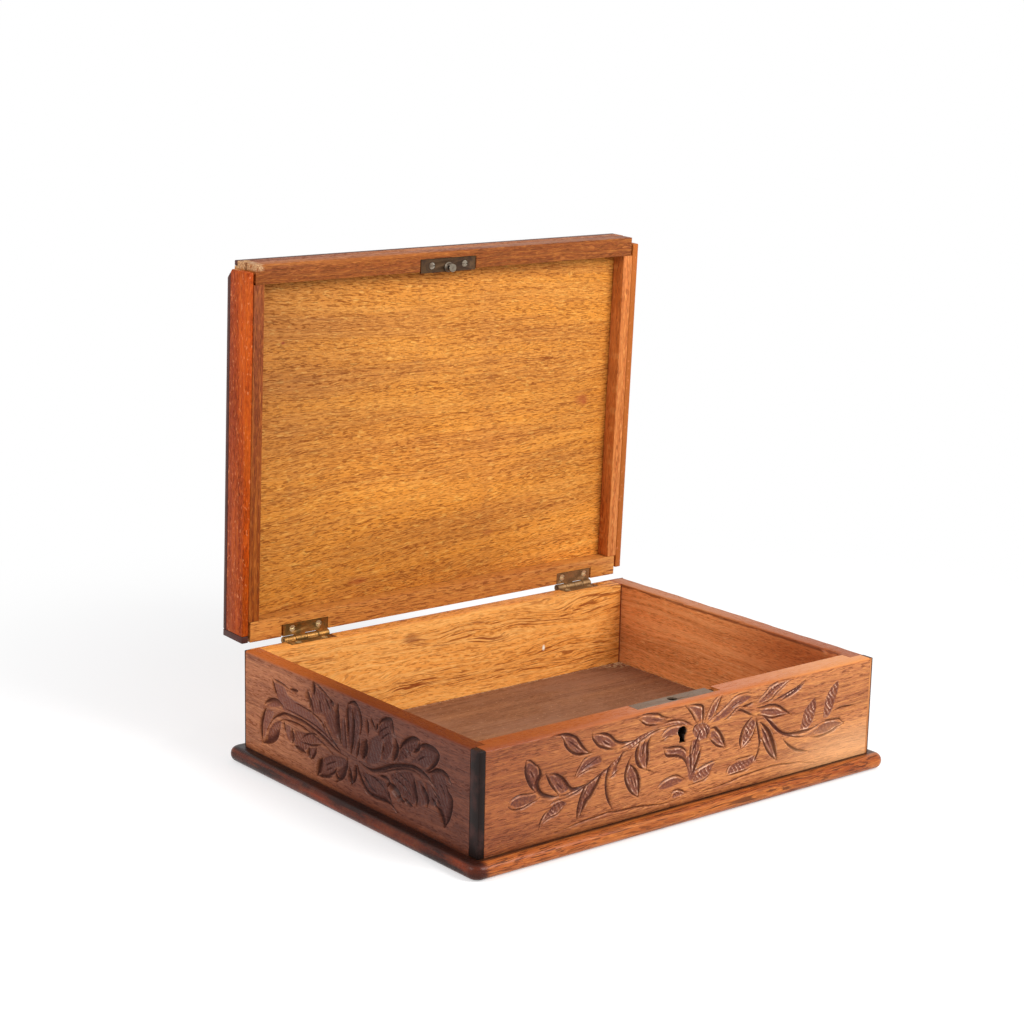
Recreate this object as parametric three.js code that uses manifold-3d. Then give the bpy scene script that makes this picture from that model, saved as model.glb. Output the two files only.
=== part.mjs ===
import * as THREE from "three";
import { mergeVertices } from "three/addons/utils/BufferGeometryUtils.js";
import Module from "manifold-3d";

// Carved oak box with a hinged lid, a box lock and ebonised corner strips. Lengths are millimetres.
// The origin is the middle of the base board's underside: +X is the right end, +Y the back, +Z up.
// Every lid piece is laid out for the shut lid, and one group then turns the lid open.

// Body sizes
const BOX_WIDTH = 300;
const BOX_DEPTH = 227;
const WALL_HEIGHT = 60;
const WALL_T = { front: 14.5, back: 12.5, left: 10, right: 11.5 };
const BASE_T = 9;
const BASE_OVERHANG = 8;
const BASE_EDGE_FLAT = 0.6;
const BASE_CORNER_R = 2.8;
const FLOOR_T = 6;
const FLOOR_CLEARANCE = 0.3;

// Ebonised corner strips: depth is along Y, on the end faces, and width is along X, on the front and back
const STRIP_DEPTH = { front: 8, back: 1.2 };
const STRIP_WIDTH = { front_left: 4.2, front_right: 2.4, back_left: 4.2, back_right: 4.2 };

// Lid sizes
const LID_T = 21;
const LID_RECESS = 10;
const LID_RAIL_W = { front: 11.6, back: 12.5 };
const LID_RAIL_END_GAP = 1.3;
const LID_SIDE_W = 12;
const FACING_T = 4.5;
const LID_NOTCH = 4.3;
const EDGE_STRIP = 3;
const LID_OPEN_DEG = 88;
const LID_GAP = 0.3;
const LID_JOINT = 0.15;

// Butt hinges
const HINGE_INSET = { left: 45.5, right: 41.5 };
const LEAF_LENGTH = { left: 32.5, right: 28 };
const LEAF_REACH = 9.8;
const LEAF_T = 1.1;
const KNUCKLE_R = 2.4;
const KNUCKLE_COUNT = 4;
const KNUCKLE_GAP = 0.3;
const KNUCKLE_CLEARANCE = 0.3;
const HINGE_PIN_R = 1;
const HINGE_PIN_CLEARANCE = 0.15;
const HINGE_PIN_PROUD = 0.3;
const HINGE_SCREW_SPACING = 19;
const HINGE_SCREW_INSET = 4;
const MORTISE_CLEARANCE = 0.3;
const LID_MORTISE_SLACK = 1.3;

// Countersunk slotted screws: head radius, shank radius and length
const HINGE_SCREW = { headR: 2.1, shankR: 1.1, length: 8.5 };
const LOCK_SCREW = { headR: 1.9, shankR: 1.0, length: 7 };
const BASE_SCREW = { headR: 3.4, shankR: 1.6, length: 22 };
const SCREW_CLEARANCE = 0.2;
const SCREW_TIP = 1.5;
const SCREW_SLOT_W = 0.6;
const SCREW_SLOT_DEPTH = 0.6;
const SCREW_SINK = 0.1;
const BASE_SCREW_SINK = 0.5;
const BASE_SCREW_INSET = 40;
const BASE_SCREWS_PER_WALL = 3;

// Box lock, let into the front wall from inside
const LOCK_X = -4.8;
const SELVEDGE_LENGTH = 58;
const SELVEDGE_W = 8.4;
const SELVEDGE_T = 1.2;
const SELVEDGE_END_GAP = 5;
const LOCK_PLATE_T = 1;
const LOCK_HEIGHT = 28;
const LOCK_CASE_W = 40;
const LOCK_CASE_HEIGHT = 25;
const LOCK_CASE_WALL = 0.7;
const LOCK_SCREW_INSET = 4.2;
const LOCK_SCREW_TOP = 8;
const LOCK_SCREW_BOTTOM = 23;
const KEYHOLE_DROP = 17;
const KEYHOLE_R = 3.5;
const KEYHOLE_SLOT_W = 3.8;
const KEYHOLE_SLOT_FOOT_W = 5;
const KEYHOLE_LENGTH = 10;
const KEY_PIN_R = 1.2;
const KEY_PIN_PROUD = 0.6;
const BOLT_CLEARANCE = 0.3;
const BOLT_END_CLEARANCE = 0.5;
const BOLT_BODY_HEIGHT = 9;
const BOLT_TONGUE_LENGTH = 6.5;
const BOLT_TONGUE_T = 1.3;
const BOLT_TONGUE_W = 2.2;
const BOLT_TALON_R = 2.6;

// Striker plate and stud on the lid
const STUD_R = 2.6;
const STUD_INSET = 4.6;
const STUD_CLEARANCE = 0.4;
const STUD_FOOT = 0.7;
const STUD_EYE_CLEARANCE = 0.3;
const STUD_COLLAR_R = 3.2;
const STUD_COLLAR_T = 0.4;
const STRIKER_LENGTH = 41.6;
const STRIKER_W = 8.4;
const STRIKER_INSET = 8.5;
const STRIKER_T = 1.2;
const STRIKER_RECESS = 0.5;
const STRIKER_SCREW_SPACING = 25;
const STRIKER_END_SLACK = 1;

// Worked-out levels and places
const HALF_W = BOX_WIDTH / 2;
const HALF_D = BOX_DEPTH / 2;
const RIM_Z = BASE_T + WALL_HEIGHT;
const LEFT_X = -HALF_W + WALL_T.left;
const RIGHT_X = HALF_W - WALL_T.right;
const FRONT_Y = -HALF_D + WALL_T.front;
const BACK_Y = HALF_D - WALL_T.back;
const FRONT_LAP_Y = -HALF_D + STRIP_DEPTH.front;
const BACK_LAP_Y = HALF_D - STRIP_DEPTH.back;
const HINGE_Y = HALF_D + KNUCKLE_R + KNUCKLE_CLEARANCE;
const HINGE_Z = RIM_Z + LID_GAP / 2;
const LID_Z = RIM_Z + LID_GAP;
const LID_TOP_Z = LID_Z + LID_T;
const LID_CORE_X = HALF_W - FACING_T - LID_JOINT;
const LID_RAIL_X = LID_CORE_X - LID_RAIL_END_GAP;
const LOCK_CASE_T = SELVEDGE_W - LOCK_PLATE_T;
const STUD_Y = FRONT_Y - STUD_INSET;
const STRIKER_Y = -HALF_D + STRIKER_INSET;
const STUD_HOLE_R = STUD_R + STUD_CLEARANCE;
const KEYHOLE_Z = RIM_Z - KEYHOLE_DROP;
const PAST = 1;
const ROUND_SIDES = 20;
const SMALL_SIDES = 16;
const BULLNOSE_STEPS = 5;

const OAK = { color: 0xb4703a, roughness: 0.45, metalness: 0 };
const OAK_PALE = { color: 0xc98a45, roughness: 0.5, metalness: 0 };
const OAK_RED = { color: 0x9c4f26, roughness: 0.35, metalness: 0 };
const OAK_BROWN = { color: 0x8f5d42, roughness: 0.7, metalness: 0 };
const EBONISED = { color: 0x2c2320, roughness: 0.4, metalness: 0 };
const BRASS = { color: 0xa08840, roughness: 0.35, metalness: 1 };
const STEEL = { color: 0x7a746a, roughness: 0.45, metalness: 1 };

const wasm = await Module();
wasm.setup();

// Turns a closed geometry into a solid for joining and cutting
function solid(geometry) {
  const bare = geometry.clone();
  bare.deleteAttribute("normal");
  bare.deleteAttribute("uv");
  const merged = mergeVertices(bare, 1e-4);
  const vertProperties = new Float32Array(merged.attributes.position.array);
  const triVerts = new Uint32Array(merged.index.array);
  return new wasm.Manifold(new wasm.Mesh({ numProp: 3, vertProperties, triVerts }));
}

function geometryOf(made) {
  const mesh = made.getMesh();
  const geometry = new THREE.BufferGeometry();
  geometry.setAttribute("position", new THREE.BufferAttribute(mesh.vertProperties, 3));
  geometry.setIndex(new THREE.BufferAttribute(mesh.triVerts, 1));
  geometry.computeVertexNormals();
  return geometry;
}

function join(geometries) {
  return geometryOf(geometries.map(solid).reduce((whole, part) => whole.add(part)));
}

function cut(geometry, tools) {
  return geometryOf(tools.map(solid).reduce((rest, tool) => rest.subtract(tool), solid(geometry)));
}

// Two coordinates in rising order
function span(a, b) {
  return [Math.min(a, b), Math.max(a, b)];
}

// A block between two corners
function block(low, high) {
  const geometry = new THREE.BoxGeometry(2, 2, 2);
  const position = geometry.attributes.position;
  for (let i = 0; i < position.count; i++) {
    const corner = [position.getX(i), position.getY(i), position.getZ(i)];
    position.setXYZ(i, ...corner.map((side, k) => (side < 0 ? low[k] : high[k])));
  }
  return geometry;
}

// A rod between two ends along "x", "y" or "z", centred on the other two coordinates
function rod(axis, radius, from, to, centre, sides = ROUND_SIDES) {
  const geometry = new THREE.CylinderGeometry(radius, radius, to - from, sides);
  if (axis === "x") geometry.rotateZ(-Math.PI / 2);
  if (axis === "z") geometry.rotateX(Math.PI / 2);
  const middle = (from + to) / 2;
  const place = { x: [middle, ...centre], y: [centre[0], middle, centre[1]], z: [...centre, middle] };
  return geometry.translate(...place[axis]);
}

// A prism: an outline in X and Y drawn up from one level to another
function prism(outline, from, to) {
  const shape = new THREE.Shape(outline.map(([x, y]) => new THREE.Vector2(x, y)));
  const geometry = new THREE.ExtrudeGeometry(shape, { depth: to - from, bevelEnabled: false });
  return geometry.translate(0, 0, from);
}

function mesh(name, geometry, finish) {
  const made = new THREE.Mesh(geometry, new THREE.MeshStandardMaterial(finish));
  made.name = name;
  return made;
}

// A countersunk screw along -Z whose flat head top is at z = 0, or, with room, the hole that it needs
function screwBody({ headR, shankR, length }, room = 0) {
  const cone = headR - shankR;
  const top = room ? PAST : 0;
  const profile = [
    [0, -length - room],
    [(shankR + room) / 2, -length - room],
    [shankR + room, -length + SCREW_TIP],
    [shankR + room, -cone - room],
    [headR + room, -room],
    [headR + room, top],
    [0, top],
  ];
  const points = profile.map(([r, z]) => new THREE.Vector2(r, z));
  return new THREE.LatheGeometry(points, SMALL_SIDES).rotateX(Math.PI / 2);
}

function screw(name, size, finish) {
  const half = SCREW_SLOT_W / 2;
  const slot = block([-size.headR - PAST, -half, -SCREW_SLOT_DEPTH], [size.headR + PAST, half, PAST]);
  return mesh(name, cut(screwBody(size), [slot]), finish);
}

// Upright places of the six base screws, three along each long wall
function baseScrewPlaces() {
  const end = HALF_W - BASE_SCREW_INSET;
  const step = (2 * end) / (BASE_SCREWS_PER_WALL - 1);
  const across = Array.from({ length: BASE_SCREWS_PER_WALL }, (_, i) => i * step - end);
  const middles = [-HALF_D + WALL_T.front / 2, HALF_D - WALL_T.back / 2];
  return middles.flatMap((y) => across.map((x) => [x, y]));
}

function baseScrewHoles() {
  return baseScrewPlaces().map(([x, y]) =>
    screwBody(BASE_SCREW, SCREW_CLEARANCE).rotateX(Math.PI).translate(x, y, BASE_SCREW_SINK),
  );
}

// Base board with a bullnose edge, under the walls and the floor
function baseBoard() {
  const edgeR = (BASE_T - BASE_EDGE_FLAT) / 2;
  const x = HALF_W + BASE_OVERHANG - edgeR - BASE_CORNER_R;
  const y = HALF_D + BASE_OVERHANG - edgeR - BASE_CORNER_R;
  const shape = new THREE.Shape();
  const corners = [[-x, -y], [x, -y], [x, y], [-x, y]];
  corners.forEach(([cx, cy], i) => {
    const start = Math.PI + (i * Math.PI) / 2;
    shape.absarc(cx, cy, BASE_CORNER_R, start, start + Math.PI / 2, false);
  });
  const options = {
    depth: BASE_EDGE_FLAT,
    bevelThickness: edgeR,
    bevelSize: edgeR,
    bevelSegments: BULLNOSE_STEPS,
    curveSegments: BULLNOSE_STEPS,
  };
  const board = new THREE.ExtrudeGeometry(shape, options).translate(0, 0, edgeR);
  return mesh("base_board", cut(board, baseScrewHoles()), OAK_RED);
}

function floorBoard() {
  const c = FLOOR_CLEARANCE;
  const low = [LEFT_X + c, FRONT_Y + c, BASE_T];
  const high = [RIGHT_X - c, BACK_Y - c, BASE_T + FLOOR_T];
  return mesh("floor_board", block(low, high), OAK_BROWN);
}

// Front or back wall: its outer tongue runs to the strips, and the end walls butt against it inside
function longWall(side) {
  const name = side < 0 ? "front" : "back";
  const left = -HALF_W + STRIP_WIDTH[name + "_left"];
  const right = HALF_W - STRIP_WIDTH[name + "_right"];
  const [outer, lap] = [side * HALF_D, side < 0 ? FRONT_LAP_Y : BACK_LAP_Y];
  const inner = side < 0 ? FRONT_Y : BACK_Y;
  const outline = [
    [left, outer],
    [right, outer],
    [right, lap],
    [RIGHT_X, lap],
    [RIGHT_X, inner],
    [LEFT_X, inner],
    [LEFT_X, lap],
    [left, lap],
  ];
  return prism(outline, BASE_T, RIM_Z);
}

function endWall(side) {
  const [a, b] = side < 0 ? [-HALF_W, LEFT_X] : [RIGHT_X, HALF_W];
  const name = side < 0 ? "left_wall" : "right_wall";
  return mesh(name, block([a, FRONT_LAP_Y, BASE_T], [b, BACK_LAP_Y, RIM_Z]), OAK);
}

function cornerStrips() {
  return Object.entries(STRIP_WIDTH).map(([corner, width]) => {
    const [long, end] = corner.split("_");
    const [x0, x1] = end === "left" ? [-HALF_W, -HALF_W + width] : [HALF_W - width, HALF_W];
    const [y0, y1] = long === "front" ? [-HALF_D, FRONT_LAP_Y] : [BACK_LAP_Y, HALF_D];
    return mesh("corner_strip_" + corner, block([x0, y0, BASE_T], [x1, y1, RIM_Z]), EBONISED);
  });
}

function baseScrews() {
  return baseScrewPlaces().map(([x, y], i) => {
    const made = screw("base_screw_" + (i + 1), BASE_SCREW, STEEL);
    made.rotation.x = Math.PI;
    made.position.set(x, y, BASE_SCREW_SINK);
    return made;
  });
}

// Hinge places: the middle of each leaf along X, with the side on which its lid mortise is loose
const HINGES = [
  { name: "hinge_left", x: -HALF_W + HINGE_INSET.left, length: LEAF_LENGTH.left, loose: -1 },
  { name: "hinge_right", x: HALF_W - HINGE_INSET.right, length: LEAF_LENGTH.right, loose: 1 },
];

// Leaf plate seated below (up = -1, on the body) or above (up = 1, on the lid) the joint level
function leafLevel(up) {
  const face = up < 0 ? RIM_Z : LID_Z;
  return span(face, face + up * LEAF_T);
}

function hingeScrewPlaces(x) {
  return [-1, 1].map((side) => [x + (side * HINGE_SCREW_SPACING) / 2, HALF_D - HINGE_SCREW_INSET]);
}

// Holes for the two screws of a leaf, which point down on the body and up on the lid
function hingeScrewHoles(x, up) {
  const face = up < 0 ? RIM_Z : LID_Z;
  return hingeScrewPlaces(x).map(([sx, sy]) => {
    const hole = screwBody(HINGE_SCREW, SCREW_CLEARANCE);
    if (up > 0) hole.rotateX(Math.PI);
    return hole.translate(sx, sy, face + up * SCREW_SINK);
  });
}

// A leaf with its share of the knuckles, bored for the pin
function leaf({ name, x, length }, up) {
  const owner = up < 0 ? "_body_leaf" : "_lid_leaf";
  const [z0, z1] = leafLevel(up);
  const start = x - length / 2;
  const plate = block([start, HINGE_Y - LEAF_REACH, z0], [start + length, HALF_D, z1]);
  const pitch = (length + KNUCKLE_GAP) / KNUCKLE_COUNT;
  const pieces = [plate];
  for (let i = 0; i < KNUCKLE_COUNT; i++) {
    const onBody = i % 2 === 0;
    if (onBody !== up < 0) continue;
    const from = start + i * pitch;
    const to = from + pitch - KNUCKLE_GAP;
    pieces.push(block([from, HALF_D - PAST, z0], [to, HINGE_Y, z1]));
    pieces.push(rod("x", KNUCKLE_R, from, to, [HINGE_Y, HINGE_Z]));
  }
  const boreR = HINGE_PIN_R + HINGE_PIN_CLEARANCE;
  const bore = rod("x", boreR, start - PAST, start + length + PAST, [HINGE_Y, HINGE_Z]);
  return mesh(name + owner, cut(join(pieces), [bore, ...hingeScrewHoles(x, up)]), BRASS);
}

function hingePin({ name, x, length }) {
  const half = length / 2 + HINGE_PIN_PROUD;
  const pin = rod("x", HINGE_PIN_R, x - half, x + half, [HINGE_Y, HINGE_Z], SMALL_SIDES);
  return mesh(name + "_pin", pin, BRASS);
}

function hingeScrews({ name, x }, up) {
  const owner = up < 0 ? "_body_screw_" : "_lid_screw_";
  const face = up < 0 ? RIM_Z : LID_Z;
  return hingeScrewPlaces(x).map(([sx, sy], i) => {
    const made = screw(name + owner + (i + 1), HINGE_SCREW, BRASS);
    if (up > 0) made.rotation.x = Math.PI;
    made.position.set(sx, sy, face + up * SCREW_SINK);
    return made;
  });
}

// Shallow pocket for a leaf in the rim or in the lid's back rail
function leafMortise({ x, length, loose }, up) {
  const [z0, z1] = leafLevel(up);
  const [low, high] = up < 0 ? [z0 - SCREW_CLEARANCE, z1 + PAST] : [z0 - PAST, z1 + SCREW_CLEARANCE];
  const slack = up > 0 ? LID_MORTISE_SLACK : MORTISE_CLEARANCE;
  const half = length / 2;
  const from = x - half - (loose < 0 ? slack : MORTISE_CLEARANCE);
  const to = x + half + (loose > 0 ? slack : MORTISE_CLEARANCE);
  return block([from, HINGE_Y - LEAF_REACH - MORTISE_CLEARANCE, low], [to, HALF_D + PAST, high]);
}

function backWall() {
  const tools = HINGES.flatMap((hinge) => [leafMortise(hinge, -1), ...hingeScrewHoles(hinge.x, -1)]);
  return mesh("back_wall", cut(longWall(1), [...tools, ...baseScrewHoles()]), OAK);
}

// The keyhole's outline, a round head over a slot that widens to its foot, drawn along Y
function keyhole(from, to) {
  const half = KEYHOLE_SLOT_W / 2;
  const foot = KEYHOLE_SLOT_FOOT_W / 2;
  const bottom = KEYHOLE_Z + KEYHOLE_R - KEYHOLE_LENGTH;
  const outline = [[-foot, bottom], [foot, bottom], [half, KEYHOLE_Z], [-half, KEYHOLE_Z]];
  const slot = prism(outline, 0, to - from).rotateX(Math.PI / 2).translate(LOCK_X, to, 0);
  return join([rod("y", KEYHOLE_R, from, to, [LOCK_X, KEYHOLE_Z]), slot]);
}

function lockScrewPlaces() {
  const half = SELVEDGE_LENGTH / 2 - LOCK_SCREW_INSET;
  return [-half, half].flatMap((x) =>
    [LOCK_SCREW_TOP, LOCK_SCREW_BOTTOM].map((drop) => [LOCK_X + x, RIM_Z - drop]),
  );
}

function lockScrewHoles() {
  return lockScrewPlaces().map(([x, z]) => {
    const hole = screwBody(LOCK_SCREW, SCREW_CLEARANCE).rotateX(-Math.PI / 2);
    return hole.translate(x, FRONT_Y - SCREW_SINK, z);
  });
}

// Pocket of the lock: selvedge, plate and case, with the open end to the right of the selvedge
function lockMortise() {
  const c = MORTISE_CLEARANCE;
  const half = SELVEDGE_LENGTH / 2;
  const caseHalf = LOCK_CASE_W / 2;
  const inside = FRONT_Y + PAST;
  const deep = FRONT_Y - SELVEDGE_W - c;
  const selvedge = block(
    [LOCK_X - half - c, deep, RIM_Z - SELVEDGE_T - c],
    [LOCK_X + half + SELVEDGE_END_GAP, inside, RIM_Z + PAST],
  );
  const plate = block(
    [LOCK_X - half - c, FRONT_Y - LOCK_PLATE_T - c, RIM_Z - LOCK_HEIGHT - c],
    [LOCK_X + half + c, inside, RIM_Z],
  );
  const pocket = block(
    [LOCK_X - caseHalf - c, deep, RIM_Z - SELVEDGE_T - LOCK_CASE_HEIGHT - c],
    [LOCK_X + caseHalf + c, inside, RIM_Z - c],
  );
  return [selvedge, plate, pocket];
}

function frontWall() {
  const tools = [...lockMortise(), ...lockScrewHoles(), ...baseScrewHoles()];
  tools.push(keyhole(-HALF_D - PAST, FRONT_Y + PAST));
  return mesh("front_wall", cut(longWall(-1), tools), OAK);
}

// Lock plate: an upright plate with the selvedge bent over it, flush with the rim
function lockPlate() {
  const left = LOCK_X - SELVEDGE_LENGTH / 2;
  const high = [LOCK_X + SELVEDGE_LENGTH / 2, FRONT_Y, RIM_Z];
  const selvedge = block([left, FRONT_Y - SELVEDGE_W, RIM_Z - SELVEDGE_T], high);
  const plate = block([left, FRONT_Y - LOCK_PLATE_T, RIM_Z - LOCK_HEIGHT], high);
  const studHole = rod("z", STUD_HOLE_R, RIM_Z - SELVEDGE_T - PAST, RIM_Z + PAST, [LOCK_X, STUD_Y]);
  return mesh("lock_plate", cut(join([selvedge, plate]), [studHole, ...lockScrewHoles()]), STEEL);
}

// Lock case: a tray that is open to the plate behind it and to the selvedge above it
function lockCase() {
  const half = LOCK_CASE_W / 2;
  const back = FRONT_Y - LOCK_PLATE_T;
  const front = back - LOCK_CASE_T;
  const top = RIM_Z - SELVEDGE_T;
  const w = LOCK_CASE_WALL;
  const tray = block([LOCK_X - half, front, top - LOCK_CASE_HEIGHT], [LOCK_X + half, back, top]);
  const hollow = block(
    [LOCK_X - half + w, front + w, top - LOCK_CASE_HEIGHT + w],
    [LOCK_X + half - w, back + PAST, top + PAST],
  );
  return mesh("lock_case", cut(tray, [hollow, keyhole(front - PAST, front + w + PAST)]), STEEL);
}

// Sliding bolt, drawn back: its tongue stops short of the stud hole until it is shot to the left
function lockBolt() {
  const back = FRONT_Y - LOCK_PLATE_T - BOLT_CLEARANCE;
  const front = FRONT_Y - LOCK_PLATE_T - LOCK_CASE_T + LOCK_CASE_WALL + BOLT_CLEARANCE;
  const top = RIM_Z - SELVEDGE_T - BOLT_CLEARANCE;
  const tip = LOCK_X + STUD_HOLE_R + BOLT_CLEARANCE;
  const bodyLeft = tip + BOLT_TONGUE_LENGTH;
  const right = LOCK_X + LOCK_CASE_W / 2 - LOCK_CASE_WALL - BOLT_END_CLEARANCE;
  const half = BOLT_TONGUE_W / 2;
  const tongue = block([tip, STUD_Y - half, top - BOLT_TONGUE_T], [bodyLeft + PAST, STUD_Y + half, top]);
  const bodyBlock = block([bodyLeft, front, top - BOLT_BODY_HEIGHT], [right, back, top]);
  const talon = rod("y", BOLT_TALON_R, front - PAST, back + PAST, [bodyLeft, top - BOLT_BODY_HEIGHT]);
  return mesh("lock_bolt", cut(join([tongue, bodyBlock]), [talon]), STEEL);
}

// Drill pin that a pipe key turns on, standing out from the plate to just past the case
function keyPin() {
  const back = FRONT_Y - LOCK_PLATE_T;
  const front = back - LOCK_CASE_T - KEY_PIN_PROUD;
  const pin = rod("y", KEY_PIN_R, front, back, [LOCK_X, KEYHOLE_Z], SMALL_SIDES);
  return mesh("key_pin", pin, STEEL);
}

function lockScrews() {
  return lockScrewPlaces().map(([x, z], i) => {
    const made = screw("lock_screw_" + (i + 1), LOCK_SCREW, STEEL);
    made.rotation.x = -Math.PI / 2;
    made.position.set(x, FRONT_Y - SCREW_SINK, z);
    return made;
  });
}

// Lid frame and panel, laid out shut
function lidPanel() {
  const x = LID_CORE_X;
  const low = LID_Z + LID_RECESS + LID_JOINT;
  const panel = block([-x, -HALF_D, low], [x, HALF_D, LID_TOP_Z]);
  const rebate = EDGE_STRIP + LID_JOINT;
  const rebates = [-1, 1].map((side) => {
    const ys = span(side * (HALF_D - rebate), side * (HALF_D + PAST));
    return block([-x - PAST, ys[0], LID_TOP_Z - rebate], [x + PAST, ys[1], LID_TOP_Z + PAST]);
  });
  return mesh("lid_panel", cut(panel, rebates), OAK_PALE);
}

function strikerPlaces() {
  return [-1, 1].map((side) => [LOCK_X + (side * STRIKER_SCREW_SPACING) / 2, STRIKER_Y]);
}

function strikerScrewHoles() {
  return strikerPlaces().map(([x, y]) => {
    const hole = screwBody(HINGE_SCREW, SCREW_CLEARANCE).rotateX(Math.PI);
    return hole.translate(x, y, LID_Z + STRIKER_RECESS + SCREW_SINK);
  });
}

function lidFrontRail() {
  const c = MORTISE_CLEARANCE;
  const half = STRIKER_LENGTH / 2;
  const depth = STRIKER_RECESS + STRIKER_T + SCREW_CLEARANCE;
  const inner = -HALF_D + LID_RAIL_W.front;
  const pocket = block(
    [LOCK_X - half - STRIKER_END_SLACK, STRIKER_Y - STRIKER_W / 2 - c, LID_Z - PAST],
    [LOCK_X + half + c, inner + PAST, LID_Z + depth],
  );
  const rail = block([-LID_RAIL_X, -HALF_D, LID_Z], [LID_RAIL_X, inner, LID_Z + LID_RECESS]);
  return mesh("lid_front_rail", cut(rail, [pocket, ...strikerScrewHoles()]), OAK);
}

function lidBackRail() {
  const inner = HALF_D - LID_RAIL_W.back;
  const rail = block([-LID_RAIL_X, inner, LID_Z], [LID_RAIL_X, HALF_D, LID_Z + LID_RECESS]);
  const tools = HINGES.flatMap((hinge) => [leafMortise(hinge, 1), ...hingeScrewHoles(hinge.x, 1)]);
  return mesh("lid_back_rail", cut(rail, tools), OAK);
}

function lidSideRail(side) {
  const xs = span(side * LID_CORE_X, side * (HALF_W - LID_SIDE_W));
  const low = -HALF_D + LID_RAIL_W.front + LID_JOINT;
  const high = HALF_D - LID_RAIL_W.back - LID_JOINT;
  const name = side < 0 ? "lid_left_rail" : "lid_right_rail";
  return mesh(name, block([xs[0], low, LID_Z], [xs[1], high, LID_Z + LID_RECESS]), OAK);
}

// Outer facing on an end of the lid, rebated along its top edge for the ebonised strip
function lidFacing(side) {
  const xs = span(side * HALF_W, side * (HALF_W - FACING_T));
  const y = HALF_D - LID_NOTCH;
  const rebate = EDGE_STRIP + LID_JOINT;
  const rx = span(side * (HALF_W - rebate), side * (HALF_W + PAST));
  const name = side < 0 ? "lid_left_facing" : "lid_right_facing";
  const groove = block([rx[0], -y - PAST, LID_TOP_Z - rebate], [rx[1], y + PAST, LID_TOP_Z + PAST]);
  return mesh(name, cut(block([xs[0], -y, LID_Z], [xs[1], y, LID_TOP_Z]), [groove]), OAK_RED);
}

function lidEdgeStrips() {
  const z = [LID_TOP_Z - EDGE_STRIP, LID_TOP_Z];
  const ends = [-1, 1].map((side) => {
    const xs = span(side * HALF_W, side * (HALF_W - EDGE_STRIP));
    const y = HALF_D - LID_NOTCH;
    const name = side < 0 ? "lid_edge_strip_left" : "lid_edge_strip_right";
    return mesh(name, block([xs[0], -y, z[0]], [xs[1], y, z[1]]), EBONISED);
  });
  const longs = [-1, 1].map((side) => {
    const ys = span(side * HALF_D, side * (HALF_D - EDGE_STRIP));
    const name = side < 0 ? "lid_edge_strip_front" : "lid_edge_strip_back";
    return mesh(name, block([-LID_CORE_X, ys[0], z[0]], [LID_CORE_X, ys[1], z[1]]), EBONISED);
  });
  return [...ends, ...longs];
}

// The one corner strip that the lid still has, at its back left corner
function lidCornerStrip() {
  const inner = LID_CORE_X + LID_JOINT;
  const y = HALF_D - LID_NOTCH + LID_JOINT;
  return mesh("lid_corner_strip", block([-HALF_W, y, LID_Z], [-inner, HALF_D, LID_TOP_Z]), EBONISED);
}

function strikerPlate() {
  const half = STRIKER_LENGTH / 2;
  const z = LID_Z + STRIKER_RECESS;
  const plate = block(
    [LOCK_X - half, STRIKER_Y - STRIKER_W / 2, z],
    [LOCK_X + half, STRIKER_Y + STRIKER_W / 2, z + STRIKER_T],
  );
  return mesh("striker_plate", cut(plate, strikerScrewHoles()), STEEL);
}

// Stud with a collar against the plate and an eye that the bolt's tongue passes through
function strikerPost() {
  const top = LID_Z + STRIKER_RECESS - LID_JOINT;
  const tongueTop = RIM_Z - SELVEDGE_T - BOLT_CLEARANCE;
  const eyeTop = tongueTop + STUD_EYE_CLEARANCE;
  const eyeFoot = tongueTop - BOLT_TONGUE_T - STUD_EYE_CLEARANCE;
  const half = BOLT_TONGUE_W / 2 + STUD_EYE_CLEARANCE;
  const reach = STUD_R + PAST;
  const stud = rod("z", STUD_R, eyeFoot - STUD_FOOT, top, [LOCK_X, STUD_Y]);
  const collar = rod("z", STUD_COLLAR_R, top - STUD_COLLAR_T, top, [LOCK_X, STUD_Y]);
  const eye = block(
    [LOCK_X - reach, STUD_Y - half, eyeFoot],
    [LOCK_X + reach, STUD_Y + half, eyeTop],
  );
  return mesh("striker_post", cut(join([stud, collar]), [eye]), STEEL);
}

function strikerScrews() {
  return strikerPlaces().map(([x, y], i) => {
    const made = screw("striker_screw_" + (i + 1), HINGE_SCREW, STEEL);
    made.rotation.x = Math.PI;
    made.position.set(x, y, LID_Z + STRIKER_RECESS + SCREW_SINK);
    return made;
  });
}

const body = new THREE.Group();
body.add(baseBoard(), floorBoard(), frontWall(), backWall(), endWall(-1), endWall(1));
body.add(...cornerStrips(), ...baseScrews());
body.add(lockPlate(), lockCase(), lockBolt(), keyPin(), ...lockScrews());
HINGES.forEach((hinge) => {
  body.add(leaf(hinge, -1), hingePin(hinge), ...hingeScrews(hinge, -1));
});

const lidShut = new THREE.Group();
lidShut.add(lidPanel(), lidFrontRail(), lidBackRail(), lidSideRail(-1), lidSideRail(1));
lidShut.add(lidFacing(-1), lidFacing(1), ...lidEdgeStrips(), lidCornerStrip());
lidShut.add(strikerPlate(), strikerPost(), ...strikerScrews());
HINGES.forEach((hinge) => {
  lidShut.add(leaf(hinge, 1), ...hingeScrews(hinge, 1));
});
lidShut.position.set(0, -HINGE_Y, -HINGE_Z);

// The hinge axis, about which the lid stands open
const lid = new THREE.Group();
lid.add(lidShut);
lid.position.set(0, HINGE_Y, HINGE_Z);
lid.rotation.x = THREE.MathUtils.degToRad(-LID_OPEN_DEG);

const box = new THREE.Group();
box.add(body, lid);
export default box;
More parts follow.
